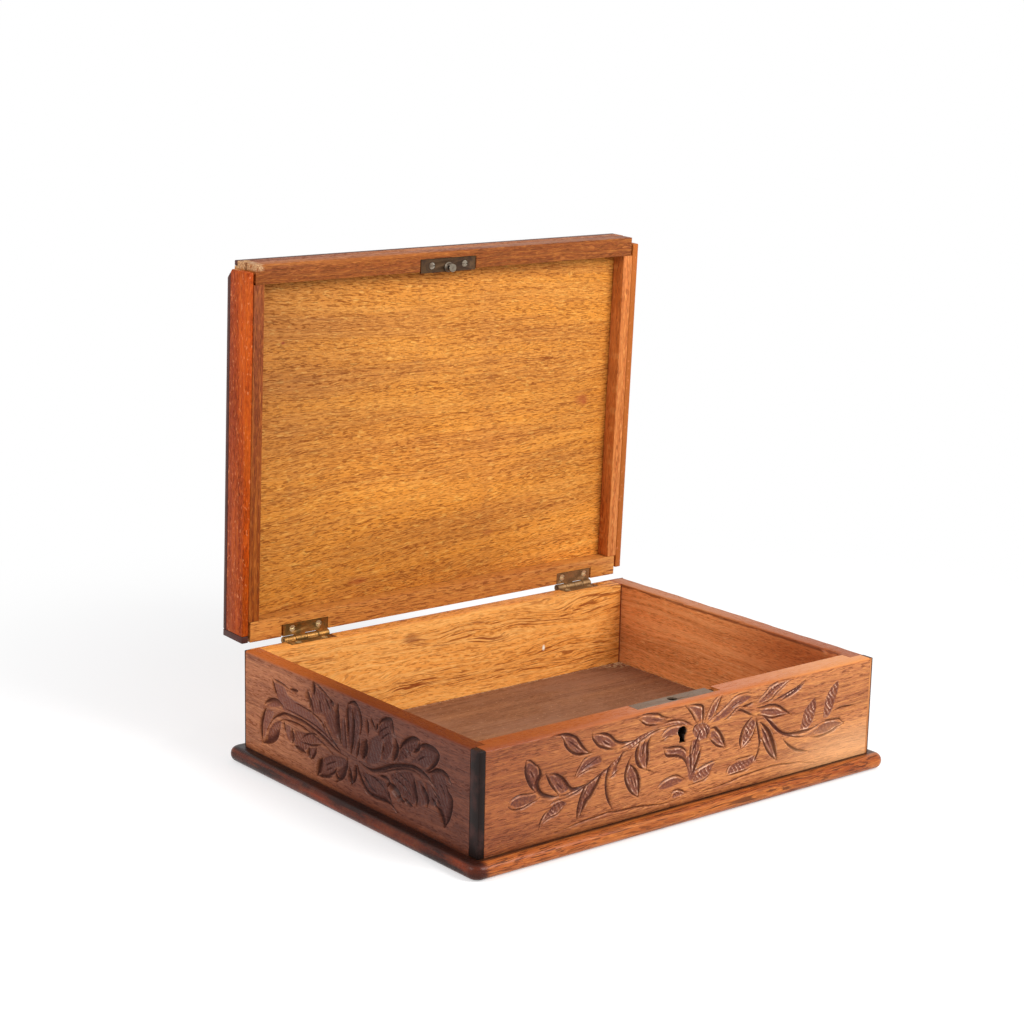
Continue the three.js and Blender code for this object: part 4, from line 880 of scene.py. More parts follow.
def nearest(u, v, path):
    """Distance from each (u, v) to a path, the side (1 left of it, -1 right) and the place along it, 0 to 1."""
    a, b = path[:-1], path[1:]
    edge = b - a
    long = np.maximum((edge**2).sum(1), 1e-9)
    away = np.stack([u, v], -1)[..., None, :] - a
    t = np.clip((away * edge).sum(-1) / long, 0, 1)
    gap_shade = away - t[..., None] * edge
    distance = np.sqrt((gap_shade**2).sum(-1))
    best = distance.argmin(-1)[..., None]
    cross = edge[:, 0] * away[..., 1] - edge[:, 1] * away[..., 0]
    side = np.sign(np.take_along_axis(cross, best, -1)[..., 0])
    run = np.concatenate([[0], np.cumsum(np.sqrt(long))])
    place = (run[best[..., 0]] + np.take_along_axis(t, best, -1)[..., 0] * np.sqrt(long)[best[..., 0]]) / run[-1]
    return np.take_along_axis(distance, best, -1)[..., 0], side, place


def inside(u, v, outline):
    """Whether each (u, v) lies in a closed outline: a line from it to the right crosses the outline oddly often."""
    a, b = outline[:-1], outline[1:]
    spans = (a[:, 1] > v[..., None]) != (b[:, 1] > v[..., None])
    rise = np.where(b[:, 1] == a[:, 1], 1e-9, b[:, 1] - a[:, 1])
    crossing = a[:, 0] + (v[..., None] - a[:, 1]) * (b[:, 0] - a[:, 0]) / rise
    return (spans & (u[..., None] < crossing)).sum(-1) % 2 == 1


def window(u, v, points, margin):
    """Slices of the grid's rows, along v, and columns, along u, that hold the points and a margin."""
    low, high = points.min(0) - margin, points.max(0) + margin
    j = np.searchsorted(u, [low[0], high[0]])
    i = np.searchsorted(v, [low[1], high[1]])
    return slice(*i), slice(*j)


def smooth_ramp(value):
    """0 up to 0, 1 from 1 on and 3 x^2 - 2 x^3 between them."""
    value = np.clip(value, 0, 1)
    return value * value * (3 - 2 * value)


def raise_to(grid, part, values):
    """Lifts a part of a grid to the values where they are higher."""
    grid[part] = np.maximum(grid[part], values)


def carving_depth(u, v, cuts, hollows, sizes):
    """Depth of the carving in millimetres over the grid of u (along the wall) and v (above its foot).

    A cut is a V beside a smooth path, with its steep wall on the leaf's outside: its depth falls with the
    distance from the path and with the tapering width at both ends. A hollow is a leaf dished to one depth
    by a smooth ramp from its outline, with gouge marks along it. Cuts and hollows join as root of squares.
    Returns the depth, the nearness to the bottom of a cut and the nearness to the middle of a leaf.
    """
    cut_depth, cut_near, leaf_depth, leaf_near = np.zeros((4, len(v), len(u)))
    least, most = sizes.groove_depth / MM, sizes.leaf_depth / MM
    for width, lean, text in cuts:
        path = smooth_path(points_of(text), PATH_STEP)
        part = window(u, v, path, width)
        uu, vv = np.meshgrid(u[part[1]], v[part[0]])
        if not uu.size:
            continue
        distance, side, place = nearest(uu, vv, path)
        widening = smooth_ramp(place / END_RUN) * smooth_ramp((1 - place) / END_RUN)
        local = width * (END_WIDTH + (1 - END_WIDTH) * widening)
        outer = max(STEEP_WALL, LEAST_REACH / width)
        reach = local * (np.where(side * lean >= 0, LEAF_WALL, outer) if lean else EVEN_WALL)
        slope = np.clip(1 - distance / reach, 0, 1)
        raise_to(cut_depth, part, (least + DEPTH_PER_WIDTH * local) * slope)
        raise_to(cut_near, part, slope * np.minimum(1, THIN_DARK + DARK_PER_WIDTH * local))
    for amount, hatched, text in hollows:
        outline = smooth_path(np.vstack([points_of(text), points_of(text)[:1]]), OUTLINE_STEP)
        part = window(u, v, outline, 0)
        uu, vv = np.meshgrid(u[part[1]], v[part[0]])
        if not uu.size:
            continue
        wide, fine = GOUGE_HEIGHTS[hatched]
        gouge = np.sin(uu * WIDE_GOUGE[0] + vv * WIDE_GOUGE[1] + np.sin(vv * 0.9)) * wide
        gouge += np.sin(uu * FINE_GOUGE[0] + vv * FINE_GOUGE[1]) * fine
        ramp = smooth_ramp(nearest(uu, vv, outline)[0] / LEAF_RAMP) * inside(uu, vv, outline)
        raise_to(leaf_depth, part, amount * most * ramp * (LEAF_LEVEL + gouge))
        raise_to(leaf_near, part, ramp * amount)
    uu, vv = np.meshgrid(u, v)
    waves = np.sin(uu * 0.11 + 1.3 * np.sin(vv * 0.13)) + np.sin(vv * 0.37 + uu * 0.05)
    return np.sqrt(cut_depth**2 + leaf_depth**2) + (PLANE_WAVE * waves + PLANE_DEPTH), cut_near, leaf_near


def arc(radius, height, top):
    """How far a rounded top edge stands back at a height, as a quarter circle of that radius."""
    rise = np.clip(height - (top - radius), 0, radius)
    return radius - np.sqrt(np.maximum(radius**2 - rise**2, 0))


def rim_radius(radius, along, waves):
    """A rounding in millimetres that waves along an edge: by which shares, and how fast per millimetre."""
    return radius / MM * (1 + sum(share * np.sin(along * rate) for share, rate in waves))


def end_wall(side, node, material, sizes, lost):
    """One carved end wall, a closed profile in X and Z carried along Y.

    The profile climbs the carved outer face, rounds the outer edge of the rim, crosses the rim, rounds its
    inner edge and comes back down inside. The outer face stands back by the carving's depth and the inner
    edge by lost(y). The two ends are closed by flat faces. side is -1 for the left wall and 1 for the right.
    """
    low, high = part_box(node)
    step = sizes.grid / MM
    y = np.linspace(low.y, high.y, int((high.y - low.y) / MM / step) + 1)
    wall = (high.x - low.x) / MM
    height = (high.z - low.z) / MM
    z_face = np.linspace(0, height - FACE_STOP_MM, int(height / step) + 1)
    along = HALF_DEPTH_MM - y / MM
    carving = carving_depth(along[::-1], z_face, END_CUTS, END_HOLLOWS, sizes)
    depth, cut, leaf = (grid[:, ::-1] for grid in carving)
    r_out = rim_radius(sizes.outer_round, along, END_RIM_WAVES)
    depth = np.maximum(depth, arc(r_out[None, :], z_face[:, None], height))
    r_in = sizes.inner_round / MM + lost(y / MM)
    turn = np.linspace(0, np.pi / 2, ROUNDING_POINTS)[:, None]
    top_x = wall - r_in[None, :] * (1 - np.sin(turn))
    top_z = height - r_in[None, :] * (1 - np.cos(turn))
    foot = np.array([[0.5 * height], [0.0]]) * np.ones((1, len(y)))
    profile_x = np.vstack([depth, top_x, np.full((2, len(y)), wall)])
    profile_z = np.vstack([z_face[:, None] * np.ones((1, len(y))), top_z, foot])
    rows, columns = profile_x.shape
    x = (low.x + profile_x * MM) if side < 0 else (high.x - profile_x * MM)
    vertices = np.stack([x, np.broadcast_to(y, x.shape), low.z + profile_z * MM], -1).reshape(-1, 3)
    piece = new_piece(node + "_carved", vertices, tube_faces(rows, columns, flip=side > 0), CARVED_SHARP)
    plain = np.zeros((rows - len(z_face), columns))
    mark(piece.data, "cut", np.vstack([cut, plain]))
    mark(piece.data, "leaf", np.vstack([leaf, plain]))
    settle(piece, "box", "wall_oak", material, node)


def mark(mesh, name, values):
    """Stores one number per vertex for the wall's material."""
    layer = mesh.attributes.new(name, "FLOAT", "POINT")
    layer.data.foreach_set("value", np.ascontiguousarray(values, np.float32).ravel())


def tube_faces(rows, columns, flip):
    """Faces of a grid whose rows close into a ring, with a flat face at either end of its columns."""
    i = np.arange(rows)[:, None]
    j = np.arange(columns - 1)[None, :]
    a, b = i * columns + j, (i + 1) % rows * columns + j
    quads = np.stack([a, b, b + 1, a + 1], -1).reshape(-1, 4)
    first = [k * columns for k in reversed(range(rows))]
    last = [k * columns + columns - 1 for k in range(rows)]
    faces = quads.tolist() + [first, last]
    return [face[::-1] for face in faces] if flip else faces


def carved_slab(u, v, depth, back):
    """A closed slab whose front is a grid of u and v standing back by a depth, for cutting the front wall.

    The front's border is carried straight back to a flat face at y = back.
    """
    rows, columns = depth.shape
    uu, vv = np.meshgrid(u, v)
    front = np.stack([uu, FRONT_MM + depth, vv], -1).reshape(-1, 3)
    i = np.arange(rows - 1)[:, None]
    j = np.arange(columns - 1)[None, :]
    a = i * columns + j
    quads = np.stack([a, a + 1, a + columns + 1, a + columns], -1).reshape(-1, 4).tolist()
    border = np.concatenate([
        np.arange(columns),
        np.arange(1, rows) * columns + columns - 1,
        (rows - 1) * columns + np.arange(columns - 2, -1, -1),
        np.arange(rows - 2, 0, -1) * columns,
    ])
    behind = front[border].copy()
    behind[:, 1] = back
    base = rows * columns
    n = len(border)
    k = np.arange(n)
    sides = np.stack([border[(k + 1) % n], border, base + k, base + (k + 1) % n], -1).tolist()
    rear = [list(range(base + n - 1, base - 1, -1))]
    return np.vstack([front, behind]) * MM, quads + sides + rear


def front_wall(material, sizes):
    """The CAD front wall cut to a slab whose front is the carved surface, so keyhole and mortise stay open.

    The cuts and leaves are then marked on the vertices near the front by the grid's place under each.
    """
    low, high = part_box("front_wall")
    step = sizes.grid / MM
    margin = SLAB_MARGIN_MM
    u = np.arange(low.x / MM - margin, high.x / MM + margin, step) + HALF_WIDTH_MM
    v = np.arange(-margin, (high.z - low.z) / MM + margin, step)
    depth, cut, leaf = carving_depth(u, v, FRONT_CUTS, FRONT_HOLLOWS, sizes)
    rim_round = rim_radius(sizes.outer_round, u, FRONT_RIM_WAVES)
    depth = np.maximum(depth, arc(rim_round[None, :], v[:, None], (high.z - low.z) / MM))
    vertices, faces = carved_slab(u - HALF_WIDTH_MM, v + WALL_FOOT_MM, depth, high.y / MM + margin)
    slab = new_piece("carved_slab", vertices, faces, NEVER_SHARP)
    piece = closed_copy("front_wall", "front_wall_carved")
    clip = piece.modifiers.new("carving", "BOOLEAN")
    clip.operation = "INTERSECT"
    clip.solver = "EXACT"
    clip.object = slab
    mesh = settled_mesh(piece)
    bpy.data.objects.remove(slab)
    if len(mesh.polygons) < len(u) * len(v) / 2:
        raise RuntimeError("the carved surface is missing from the front wall")
    soften(mesh, CARVED_SHARP)
    place = np.empty(len(mesh.vertices) * 3)
    mesh.vertices.foreach_get("co", place)
    x, y, z = place.reshape(-1, 3).T / MM
    j = np.clip(np.rint((x + HALF_WIDTH_MM - u[0]) / step).astype(int), 0, len(u) - 1)
    i = np.clip(np.rint((z - WALL_FOOT_MM - v[0]) / step).astype(int), 0, len(v) - 1)
    shown = y < FRONT_MM + FRONT_SKIN_MM
    mark(mesh, "cut", cut[i, j] * shown)
    mark(mesh, "leaf", leaf[i, j] * shown)
    settle(piece, "box", "wall_oak", material, "front_wall")


def whole_rim(y):
    """A rim that has lost nothing."""
    return np.zeros_like(y)


def chipped_rim(y):
    """How far splinters lost from the rim's inner edge reach across it."""
    return sum(size * np.exp(-(((y - at) / half) ** CHIP_STEEPNESS)) for at, half, size in RIM_CHIPS)


def front_light_and_shade(paint, place, colour):
    """Darker and browner towards the left end, partly the wood's own tone and partly painted shade; a painted pool
    of light low on the right; an orange rim on the right; painted shade in the keyhole and in the gap beside the
    selvedge.
    """
    across, level = paint.axis(place, X), paint.axis(place, Z)
    lit_patch = paint.mask(across, 50, 135) * paint.mask(level, 40, 14)
    rim = paint.mask(across, 30, 140) * paint.mask(level, RIM_MM - 1.2, RIM_MM - 0.4)
    gap_shade = paint.spot_mask(place, (SELVEDGE_END_MM + 2.2, -101, 68), (3.4, 3.4, 4.5))
    keyhole_shade = paint.spot_mask(place, (-4.8, -104, 50), (7, 60, 9)) * paint.span(place, Y, -113.0, -111.5)
    return paint.layers(
        colour,
        # Darker towards the left end: the wood's own tone and painted shade
        (paint.mask(across, 10, -150) * 0.7, 0xB08878, "MULTIPLY"),
        # Painted light: a pale pool low on the right
        (lit_patch * 0.45, 0xFFC48C),
        (rim * 0.7, 0xD89050),
        # Painted shade in the gap beside the selvedge and in the keyhole
        (gap_shade * 2.5, 0x2A120A),
        (keyhole_shade * 3.0, 0x160A06),
    )


def shaded(paint, place, colour):
    """Darker and purpler towards the front corner."""
    return paint.blend(paint.span(place, Y, 100, -10) * 0.9, colour, 0x8A6860, "MULTIPLY")


def lit_from_back(paint, place, colour):
    """Painted shade: darker towards the front, most on the upper front of the inner face; and a painted shadow
    line, broken by noise, under the chipped inner edge of the rim.
    """
    chip_shadow = paint.mask(paint.noise(place, (2, 16, 2), 3), 0.42, 0.5)
    inner_face = paint.span(place, X, 140, 139) * paint.span(place, Z, 28, 52)
    level = paint.axis(place, Z)
    edge = paint.mask(level, RIM_MM - 2.6, RIM_MM - 1.6) * paint.mask(level, RIM_MM - 0.3, RIM_MM - 0.9)
    return paint.layers(
        colour,
        # Painted shade, darker towards the front and most on the upper front of the inner face
        (paint.span(place, Y, 60, -80) * 0.6, 0xB07860, "MULTIPLY"),
        (inner_face * paint.span(place, Y, 0, -60), (0.8, 0.68, 0.58), "MULTIPLY"),
        # Painted shadow under the chipped inner edge of the rim
        (edge * chip_shadow * paint.span(place, X, 144, 142) * 0.7, 0x5A2410),
    )


def aged_back(paint, place, colour, rough):
    """A stain, a pale speck, a dark red band along the right corner, and the brown of the outside."""
    outside = paint.span(place, Y, 112.6, 113.4)
    seam = paint.span(place, X, INNER_RIGHT_MM - 1.5, INNER_RIGHT_MM - 0.3) * (1 - outside)
    return paint.layers(
        colour,
        (paint.spot_mask(place, (-36, 101, 60), (9, 4, 5)) * 0.6, 0x8A4A24),
        (paint.spot_mask(place, (71.8, 101, 36), (1.6, 3, 2.6)), 0xF4EEDD),
        (seam, 0x7A2A16),
        (outside * 0.8, bpy.context.scene.oak_tones.outside, "MULTIPLY"),
    ), rough


def dusty(paint, place, colour, rough):
    """Specks of dust, dull smears, and crumbs along the back and in the right corner."""
    dust = paint.noise(place, 1.3)
    smear = paint.noise(place, (55, 26, 30), 4, 0.6)
    right = paint.span(place, X, INNER_RIGHT_MM - 3, INNER_RIGHT_MM)
    edge = paint.span(place, Y, 97.5, 100.5).most(right)
    corner = paint.spot_mask(place, (INNER_RIGHT_MM, 100, 15), (26, 16, 9)).most(edge * 0.6)
    crumbs = paint.mask(paint.noise(place, 2.2, 3, 0.7), 0.45, 0.6)
    return paint.layers(
        colour,
        (paint.mask(dust, 0.66, 0.74) * 0.6, 0xC9A27C),
        (paint.mask(smear, 0.42, 0.7) * 0.55, 0x946C54),
        (corner * crumbs, 0xE2C69A),
    ), rough + smear * 0.15


def base_shade_and_grime(paint, place, colour, rough):
    """Painted shade over the left end, with red and black mottling there; painted shadow with grime on the ledge
    where the walls stand on the board; a darker front left corner.
    """
    left = paint.span(place, X, -147, -152)
    mottle = paint.noise(place, (14, 55, 5), 4, 0.6)
    ledge_shadow = paint.span(place, Z, 7.2, 8.8) * paint.span(place, Y, -117.5, -114.5).most(left)
    grime = paint.noise(place, 20, 3)
    return paint.layers(
        colour,
        # Painted shade over the left end, with red and black mottling
        (left * 0.9, 0x4A1404),
        (left * paint.mask(mottle, 0.5, 0.7) * 0.5, 0x983A12),
        (left * paint.mask(mottle, 0.5, 0.38) * 0.8, 0x140603),
        # Painted shadow, with grime, on the ledge at the walls' foot
        (ledge_shadow * (grime * 0.6 + 0.6), 0x180805),
        (paint.spot_mask(place, (-155, -118.5, 4), (10, 10, 10)) * 0.8, 0x3E180C),
    ), rough


def raw_corner(paint, place, colour, rough):
    """Crumbly bare wood at the top left of the panel and the front rail, where the strips are lost."""
    near_end = paint.span(place, X, PANEL_LEFT_MM + 7.5, PANEL_LEFT_MM + 5.5)
    near_top = paint.span(place, Z, PANEL_TOP_MM - 5.0, PANEL_TOP_MM - 3.6)
    chip = paint.mask(paint.noise(place, 2.5, 3), 0.3, 0.5)
    crumb = paint.mask(paint.noise(place, 0.7), 0.42, 0.6)
    bare = paint.blend(crumb * 0.75, 0xC89C6E, 0x7E4A2C)
    return paint.blend(near_end * near_top * chip, colour, bare), rough


def aged_and_shaded_panel(paint, place, colour, rough):
    """Red marks, brown sweeps, painted shade on the upper left, painted light on the lower right, a lighter band
    across the middle, pale speckles up high, and the brown of the outside.
    """
    across, level = paint.axis(place, X), paint.axis(place, Z)
    marks = [(paint.spot_mask(place, *where) * amount, 0x9C4424) for *where, amount in PANEL_MARKS]
    sweep = paint.noise(place, (26, 30, 240))
    speckle = paint.noise(place, (1.5, 2, 1.2))
    shade = paint.mask(across, 0, -150) * paint.mask(level, 140, 240)
    lit_corner = paint.mask(across, 20, 140) * paint.mask(level, 150, 90)
    middle = paint.mask(across, -120, -40) * paint.mask(across, 100, 40) * paint.mask(level, 210, 170)
    lift = paint.axis(place, Y) * LID_OUTWARD.y + level * LID_OUTWARD.z
    outside = paint.mask(lift, LID_OUTSIDE_MM - 1.0, LID_OUTSIDE_MM - 0.4)
    outside = outside.most(paint.mask(level, PANEL_TOP_MM - 1.4, PANEL_TOP_MM - 0.6))
    colour = paint.layers(
        colour,
        *marks,
        (paint.mask(sweep, 0.5, 0.7) * 0.18, 0xB0713A),
        # Painted shade on the upper left, and painted light on the lower right
        (shade * 0.9, (0.66, 0.64, 0.78), "MULTIPLY"),
        (lit_corner, (1.32, 1.38, 1.45), "MULTIPLY"),
        (middle * paint.mask(level, 110, 150), (1.14, 1.14, 1.14), "MULTIPLY"),
        (paint.mask(speckle, 0.55, 0.68) * paint.mask(level, 150, 230) * 0.4, 0x94582A),
        (outside, (0.66, 0.58, 1.3), "MULTIPLY"),
    )
    return raw_corner(paint, place, colour, rough)


def scuffed(paint, place, colour, rough):
    """Pale flecks, redder at the back, browner on the right, and raw wood on the broken corner and end."""
    fleck = paint.mask(paint.noise(place, (1.6, 1.6, 3.2)), 0.62, 0.7)
    beyond = (paint.axis(place, Y) - CHIP_POINT.y / MM) * CHIP_NORMAL.y
    beyond = beyond + (paint.axis(place, Z) - CHIP_POINT.z / MM) * CHIP_NORMAL.z
    broken = paint.mask(beyond, -0.7, -0.2).most(paint.span(place, Z, FACING_TOP_MM - 0.5, FACING_TOP_MM - 0.2))
    raw = broken * paint.span(place, X, -140, -144)
    return paint.layers(
        colour,
        (paint.span(place, Y, 118, 132) * 0.25, 0x7A3220),
        (paint.span(place, X, 100, 140) * 0.8, 0xB0662C),
        (raw * (paint.noise(place, 1.2, 3) * 0.8 + 0.35), 0xC98A52),
        (fleck * 0.5, 0xE08A58),
    ), rough


class OAKBOX_OT_front_wall(bpy.types.Operator):
    """Carve the front wall: the CAD wall cut to a slab whose front is the carved surface"""

    bl_idname = "oakbox.front_wall"
    bl_label = "Carved front wall"

    def execute(self, context):
        sizes, tones = context.scene.oak_sizes, context.scene.oak_tones
        material = carved_oak(
            "oak_front", X, Y, (0x9E5A30, tones.outside, 0xDC9550), front_light_and_shade, edge_light=0.85,
            seed=1, dash=(5.5, 0.55), pores=0.75, flecks=0.2, gloss=0.4, coat=0.15, lines=0.5,
        )
        front_wall(material, sizes)
        return {"FINISHED"}


class OAKBOX_OT_end_walls(bpy.types.Operator):
    """Carve the two end walls: profiles carried along the box's depth, the right one a mirror of the left"""

    bl_idname = "oakbox.end_walls"
    bl_label = "Carved end walls"

    def execute(self, context):
        sizes = context.scene.oak_sizes
        left = carved_oak(
            "oak_left", Y, X, (0x824626, 0xA25E38, 0xC07C50), shaded, rim_tone=0xB05A20, edge_light=0.15,
            seed=2, pores=0.75, figure=0.6, gloss=0.4, coat=0.05, lines=0.7,
        )
        right = carved_oak(
            "oak_right", Y, X, (0xD4844A, 0xF09A5A, 0xFAB478), lit_from_back, rim_tone=0xA45D2D,
            seed=3, dash=(5, 0.42), pores=0.4, figure=0.6, gloss=0.5, lines=0.25,
        )
        end_wall(-1, "left_wall", left, sizes, whole_rim)
        end_wall(1, "right_wall", right, sizes, chipped_rim)
        return {"FINISHED"}


class OAKBOX_OT_plain_body(bpy.types.Operator):
    """Back wall, floor board and base board, with rounded edges"""

    bl_idname = "oakbox.plain_body"
    bl_label = "Back, floor and base"

    def execute(self, context):
        sizes, tones = context.scene.oak_sizes, context.scene.oak_tones
        back = oak(
            "oak_back", X, Y, (0xD88A3A, tones.inside, 0xFFC878), 0x8E4614,
            seed=4, dash=(5, 0.7), pores=0.55, flecks=0.1, gloss=0.6, lines=1.0, wave=9, extra=aged_back,
        )
        rounded_copy("back_wall", sizes.arris, "box", "wall_oak", back)

        floor = oak(
            "oak_floor", X, Z, (0x784E36, tones.floor, 0xA07454), 0x563420,
            seed=5, pores=0.35, flecks=0.05, gloss=0.7, coat=0.0, extra=dusty,
        )
        rounded_copy("floor_board", sizes.arris, "box", "floor_oak", floor)

        base = oak(
            "oak_base", X, Z, (0x8A4018, tones.base, 0xD4823C), 0x4A200C, seed=6, dash=(9, 0.6), pores=0.8,
            figure=0.7, flecks=0.05, gloss=0.3, coat=0.05, shine=0.15, lines=0.8, extra=base_shade_and_grime,
        )
        rounded_copy("base_board", sizes.arris * BASE_ARRIS, "box", "base_oak", base, BASE_SHARP)
        return {"FINISHED"}


class OAKBOX_OT_strips(bpy.types.Operator):
    """Ebonised strips of the corners and of the lid"""

    bl_idname = "oakbox.strips"
    bl_label = "Ebonised strips"

    def execute(self, context):
        width = context.scene.oak_sizes.arris * STRIP_ARRIS
        upright = ebonised("ebony_upright", Z, 1, 0.0)
        lid_upright = ebonised("ebony_lid_side", Z, 3, 0.55)
        level = ebonised("ebony_level", X, 2, 0.55)
        thin_edge = ebonised("ebony_front_right", Z, 4, 0.4, HALF_WIDTH_MM - 1.0)
        strips = {
            "corner_strip_front_left": ("box", upright),
            "corner_strip_front_right": ("box", thin_edge),
            "corner_strip_back_left": ("box", upright),
            "corner_strip_back_right": ("box", upright),
            "lid_edge_strip_left": ("lid", lid_upright),
            "lid_edge_strip_right": ("lid", lid_upright),
            "lid_corner_strip": ("lid", lid_upright),
            "lid_edge_strip_front": ("lid", level),
            "lid_edge_strip_back": ("lid", level),
        }
        for node, (body, ebony) in strips.items():
            rounded_copy(node, width, body, "ebonised_wood", ebony, chipped=node == "lid_edge_strip_left")
        return {"FINISHED"}


class OAKBOX_OT_lid(bpy.types.Operator):
    """Panel, rails and facings of the lid"""

    bl_idname = "oakbox.lid"
    bl_label = "Lid"

    def execute(self, context):
        sizes, tones = context.scene.oak_sizes, context.scene.oak_tones
        panel = oak(
            "oak_panel", X, Y, (0xC27A30, tones.lid_panel, 0xF2B058), 0x7E3C10, seed=7, dash=(4.4, 0.5), pores=0.75,
            flecks=0.3, figure=0.28, gloss=0.6, coat=0.0, wave=4, crowding=0.4, lines=0.5, fan=(205, 0.0008),
            extra=aged_and_shaded_panel,
        )
        rounded_copy("lid_panel", sizes.arris, "lid", "lid_panel_oak", panel)

        dull = {"pores": 0.5, "gloss": 0.5, "coat": 0.0}
        front = {**dull, "seed": 8, "dash": (4, 0.5), "lines": 0.4, "extra": raw_corner}
        back = {"seed": 11, "dash": (6, 0.7), "pores": 0.8, "gloss": 0.55}
        left = {**dull, "seed": 9, "dash": (5, 0.5)}
        right = {**left, "seed": 12}
        rails = (
            ("front_rail", "oak_rail", X, (0x803E14, tones.lid_frame, 0xC0762E), 0x4E2208, front),
            ("back_rail", "oak_back_rail", X, (0xB87034, 0xCE863C, 0xE2A04E), 0x84451A, back),
            ("left_rail", "oak_side_rail", Z, (0x7C3610, 0x9E5016, 0xBC6C26), 0x4A1E08, left),
            # The right rail's paler tones are painted light on its face
            ("right_rail", "oak_lit_right_rail", Z, (0xB86428, 0xDC8244, 0xF0A058), 0x6A3010, right),
        )
        for rail, name, grain, woods, pore, options in rails:
            wood = oak(name, grain, Y, woods, pore, **options)
            rounded_copy("lid_" + rail, sizes.arris, "lid", "lid_frame_oak", wood)

        facing = oak(
            "oak_facing", Z, X, (0x7C2A08, tones.facing, 0xC46018), 0x4A1806,
            seed=10, dash=(3.5, 0.55), pores=0.55, gloss=0.5, coat=0.0, shine=0.1, extra=scuffed,
        )
        for side in ("left", "right"):
            node = "lid_%s_facing" % side
            width = sizes.arris * FACING_ARRIS
            rounded_copy(node, width, "lid", "lid_facing_oak", facing, chipped=side == "left")
        return {"FINISHED"}


class OAKBOX_OT_hinges(bpy.types.Operator):
    """Brass hinges and their screws"""

    bl_idname = "oakbox.hinges"
    bl_label = "Brass hinges"

    def execute(self, context):
        looks = {
            "hinge_left": (context.scene.oak_tones.brass, 0x5E4620, 0x2A1A0C, 0.3),
            "hinge_right": (0x997752, 0x6C4E30, 0x261810, 0.36),
        }
        screw = metal("brass_screw", 0xE0D4B4, 0xB8A47A, 0x3A2A16, 0.25)
        for name, look in looks.items():
            for leaf, body in (("body", "box"), ("lid", "lid")):
                node = "%s_%s_" % (name, leaf)
                screws = [node + "screw_1", node + "screw_2"]
                brass = metal(node + "brass", *look, screws=screws)
                rounded_copy(node + "leaf", LEAF_ARRIS, body, "hinge_brass", brass, segments=1)
                for part in screws:
                    paint_node(part, screw)
            paint_node(name + "_pin", metal(name + "_pin_brass", *look))
        return {"FINISHED"}


class OAKBOX_OT_lock(bpy.types.Operator):
    """Lock, its screws, the striker plate and the heads of the base screws"""

    bl_idname = "oakbox.lock"
    bl_label = "Steel lock"

    def execute(self, context):
        steel = metal("steel_lock", context.scene.oak_tones.steel, 0x7E6A5A, 0x3A2C22, 0.45)
        heads = ["striker_screw_1", "striker_screw_2"]
        bronzed = metal("steel_striker", 0x54402E, 0x3E2C20, 0x1C120C, 0.45, screws=heads)
        stud = metal("steel_stud", 0x847A6C, 0x54463A, 0x1C120C, 0.3)
        bright = metal("steel_screw", 0xA79E90, 0x6A5A4A, 0x2A1E16, 0.28)
        rounded_copy("lock_plate", PLATE_ARRIS, "box", "lock_steel", steel, segments=1)
        rounded_copy("striker_plate", PLATE_ARRIS, "lid", "lock_steel", bronzed, segments=1)
        rounded_copy("striker_post", LEAF_ARRIS, "lid", "lock_steel", stud, segments=1)
        for node in ["lock_case", "key_pin"] + ["lock_screw_%d" % (i + 1) for i in range(4)]:
            paint_node(node, steel)
        for node in ["lock_bolt"] + heads + ["base_screw_%d" % (i + 1) for i in range(6)]:
            paint_node(node, bright)
        return {"FINISHED"}


def camera_axes():
    """Right, up and backward directions of the camera from its azimuth, elevation and roll."""
    azimuth, elevation, roll = (math.radians(a) for a in (CAMERA_AZIMUTH, CAMERA_ELEVATION, CAMERA_ROLL))
    back = Vector((
        math.sin(azimuth) * math.cos(elevation),
        -math.cos(azimuth) * math.cos(elevation),
        math.sin(elevation),
    ))
    right = Vector((math.cos(azimuth), math.sin(azimuth), 0))
    up = back.cross(right)
    turned_right = right * math.cos(roll) + up * math.sin(roll)
    turned_up = up * math.cos(roll) - right * math.sin(roll)
    return turned_right, turned_up, back


def seen_rays(paint):
    """1 for rays that come from the camera, from a reflection or through glass."""
    camera = paint.add("ShaderNodeLightPath", output="Is Camera Ray")
    glossy = paint.add("ShaderNodeLightPath", output="Is Glossy Ray")
    through = paint.add("ShaderNodeLightPath", output="Is Transmission Ray")
    return camera.most(glossy).most(through)


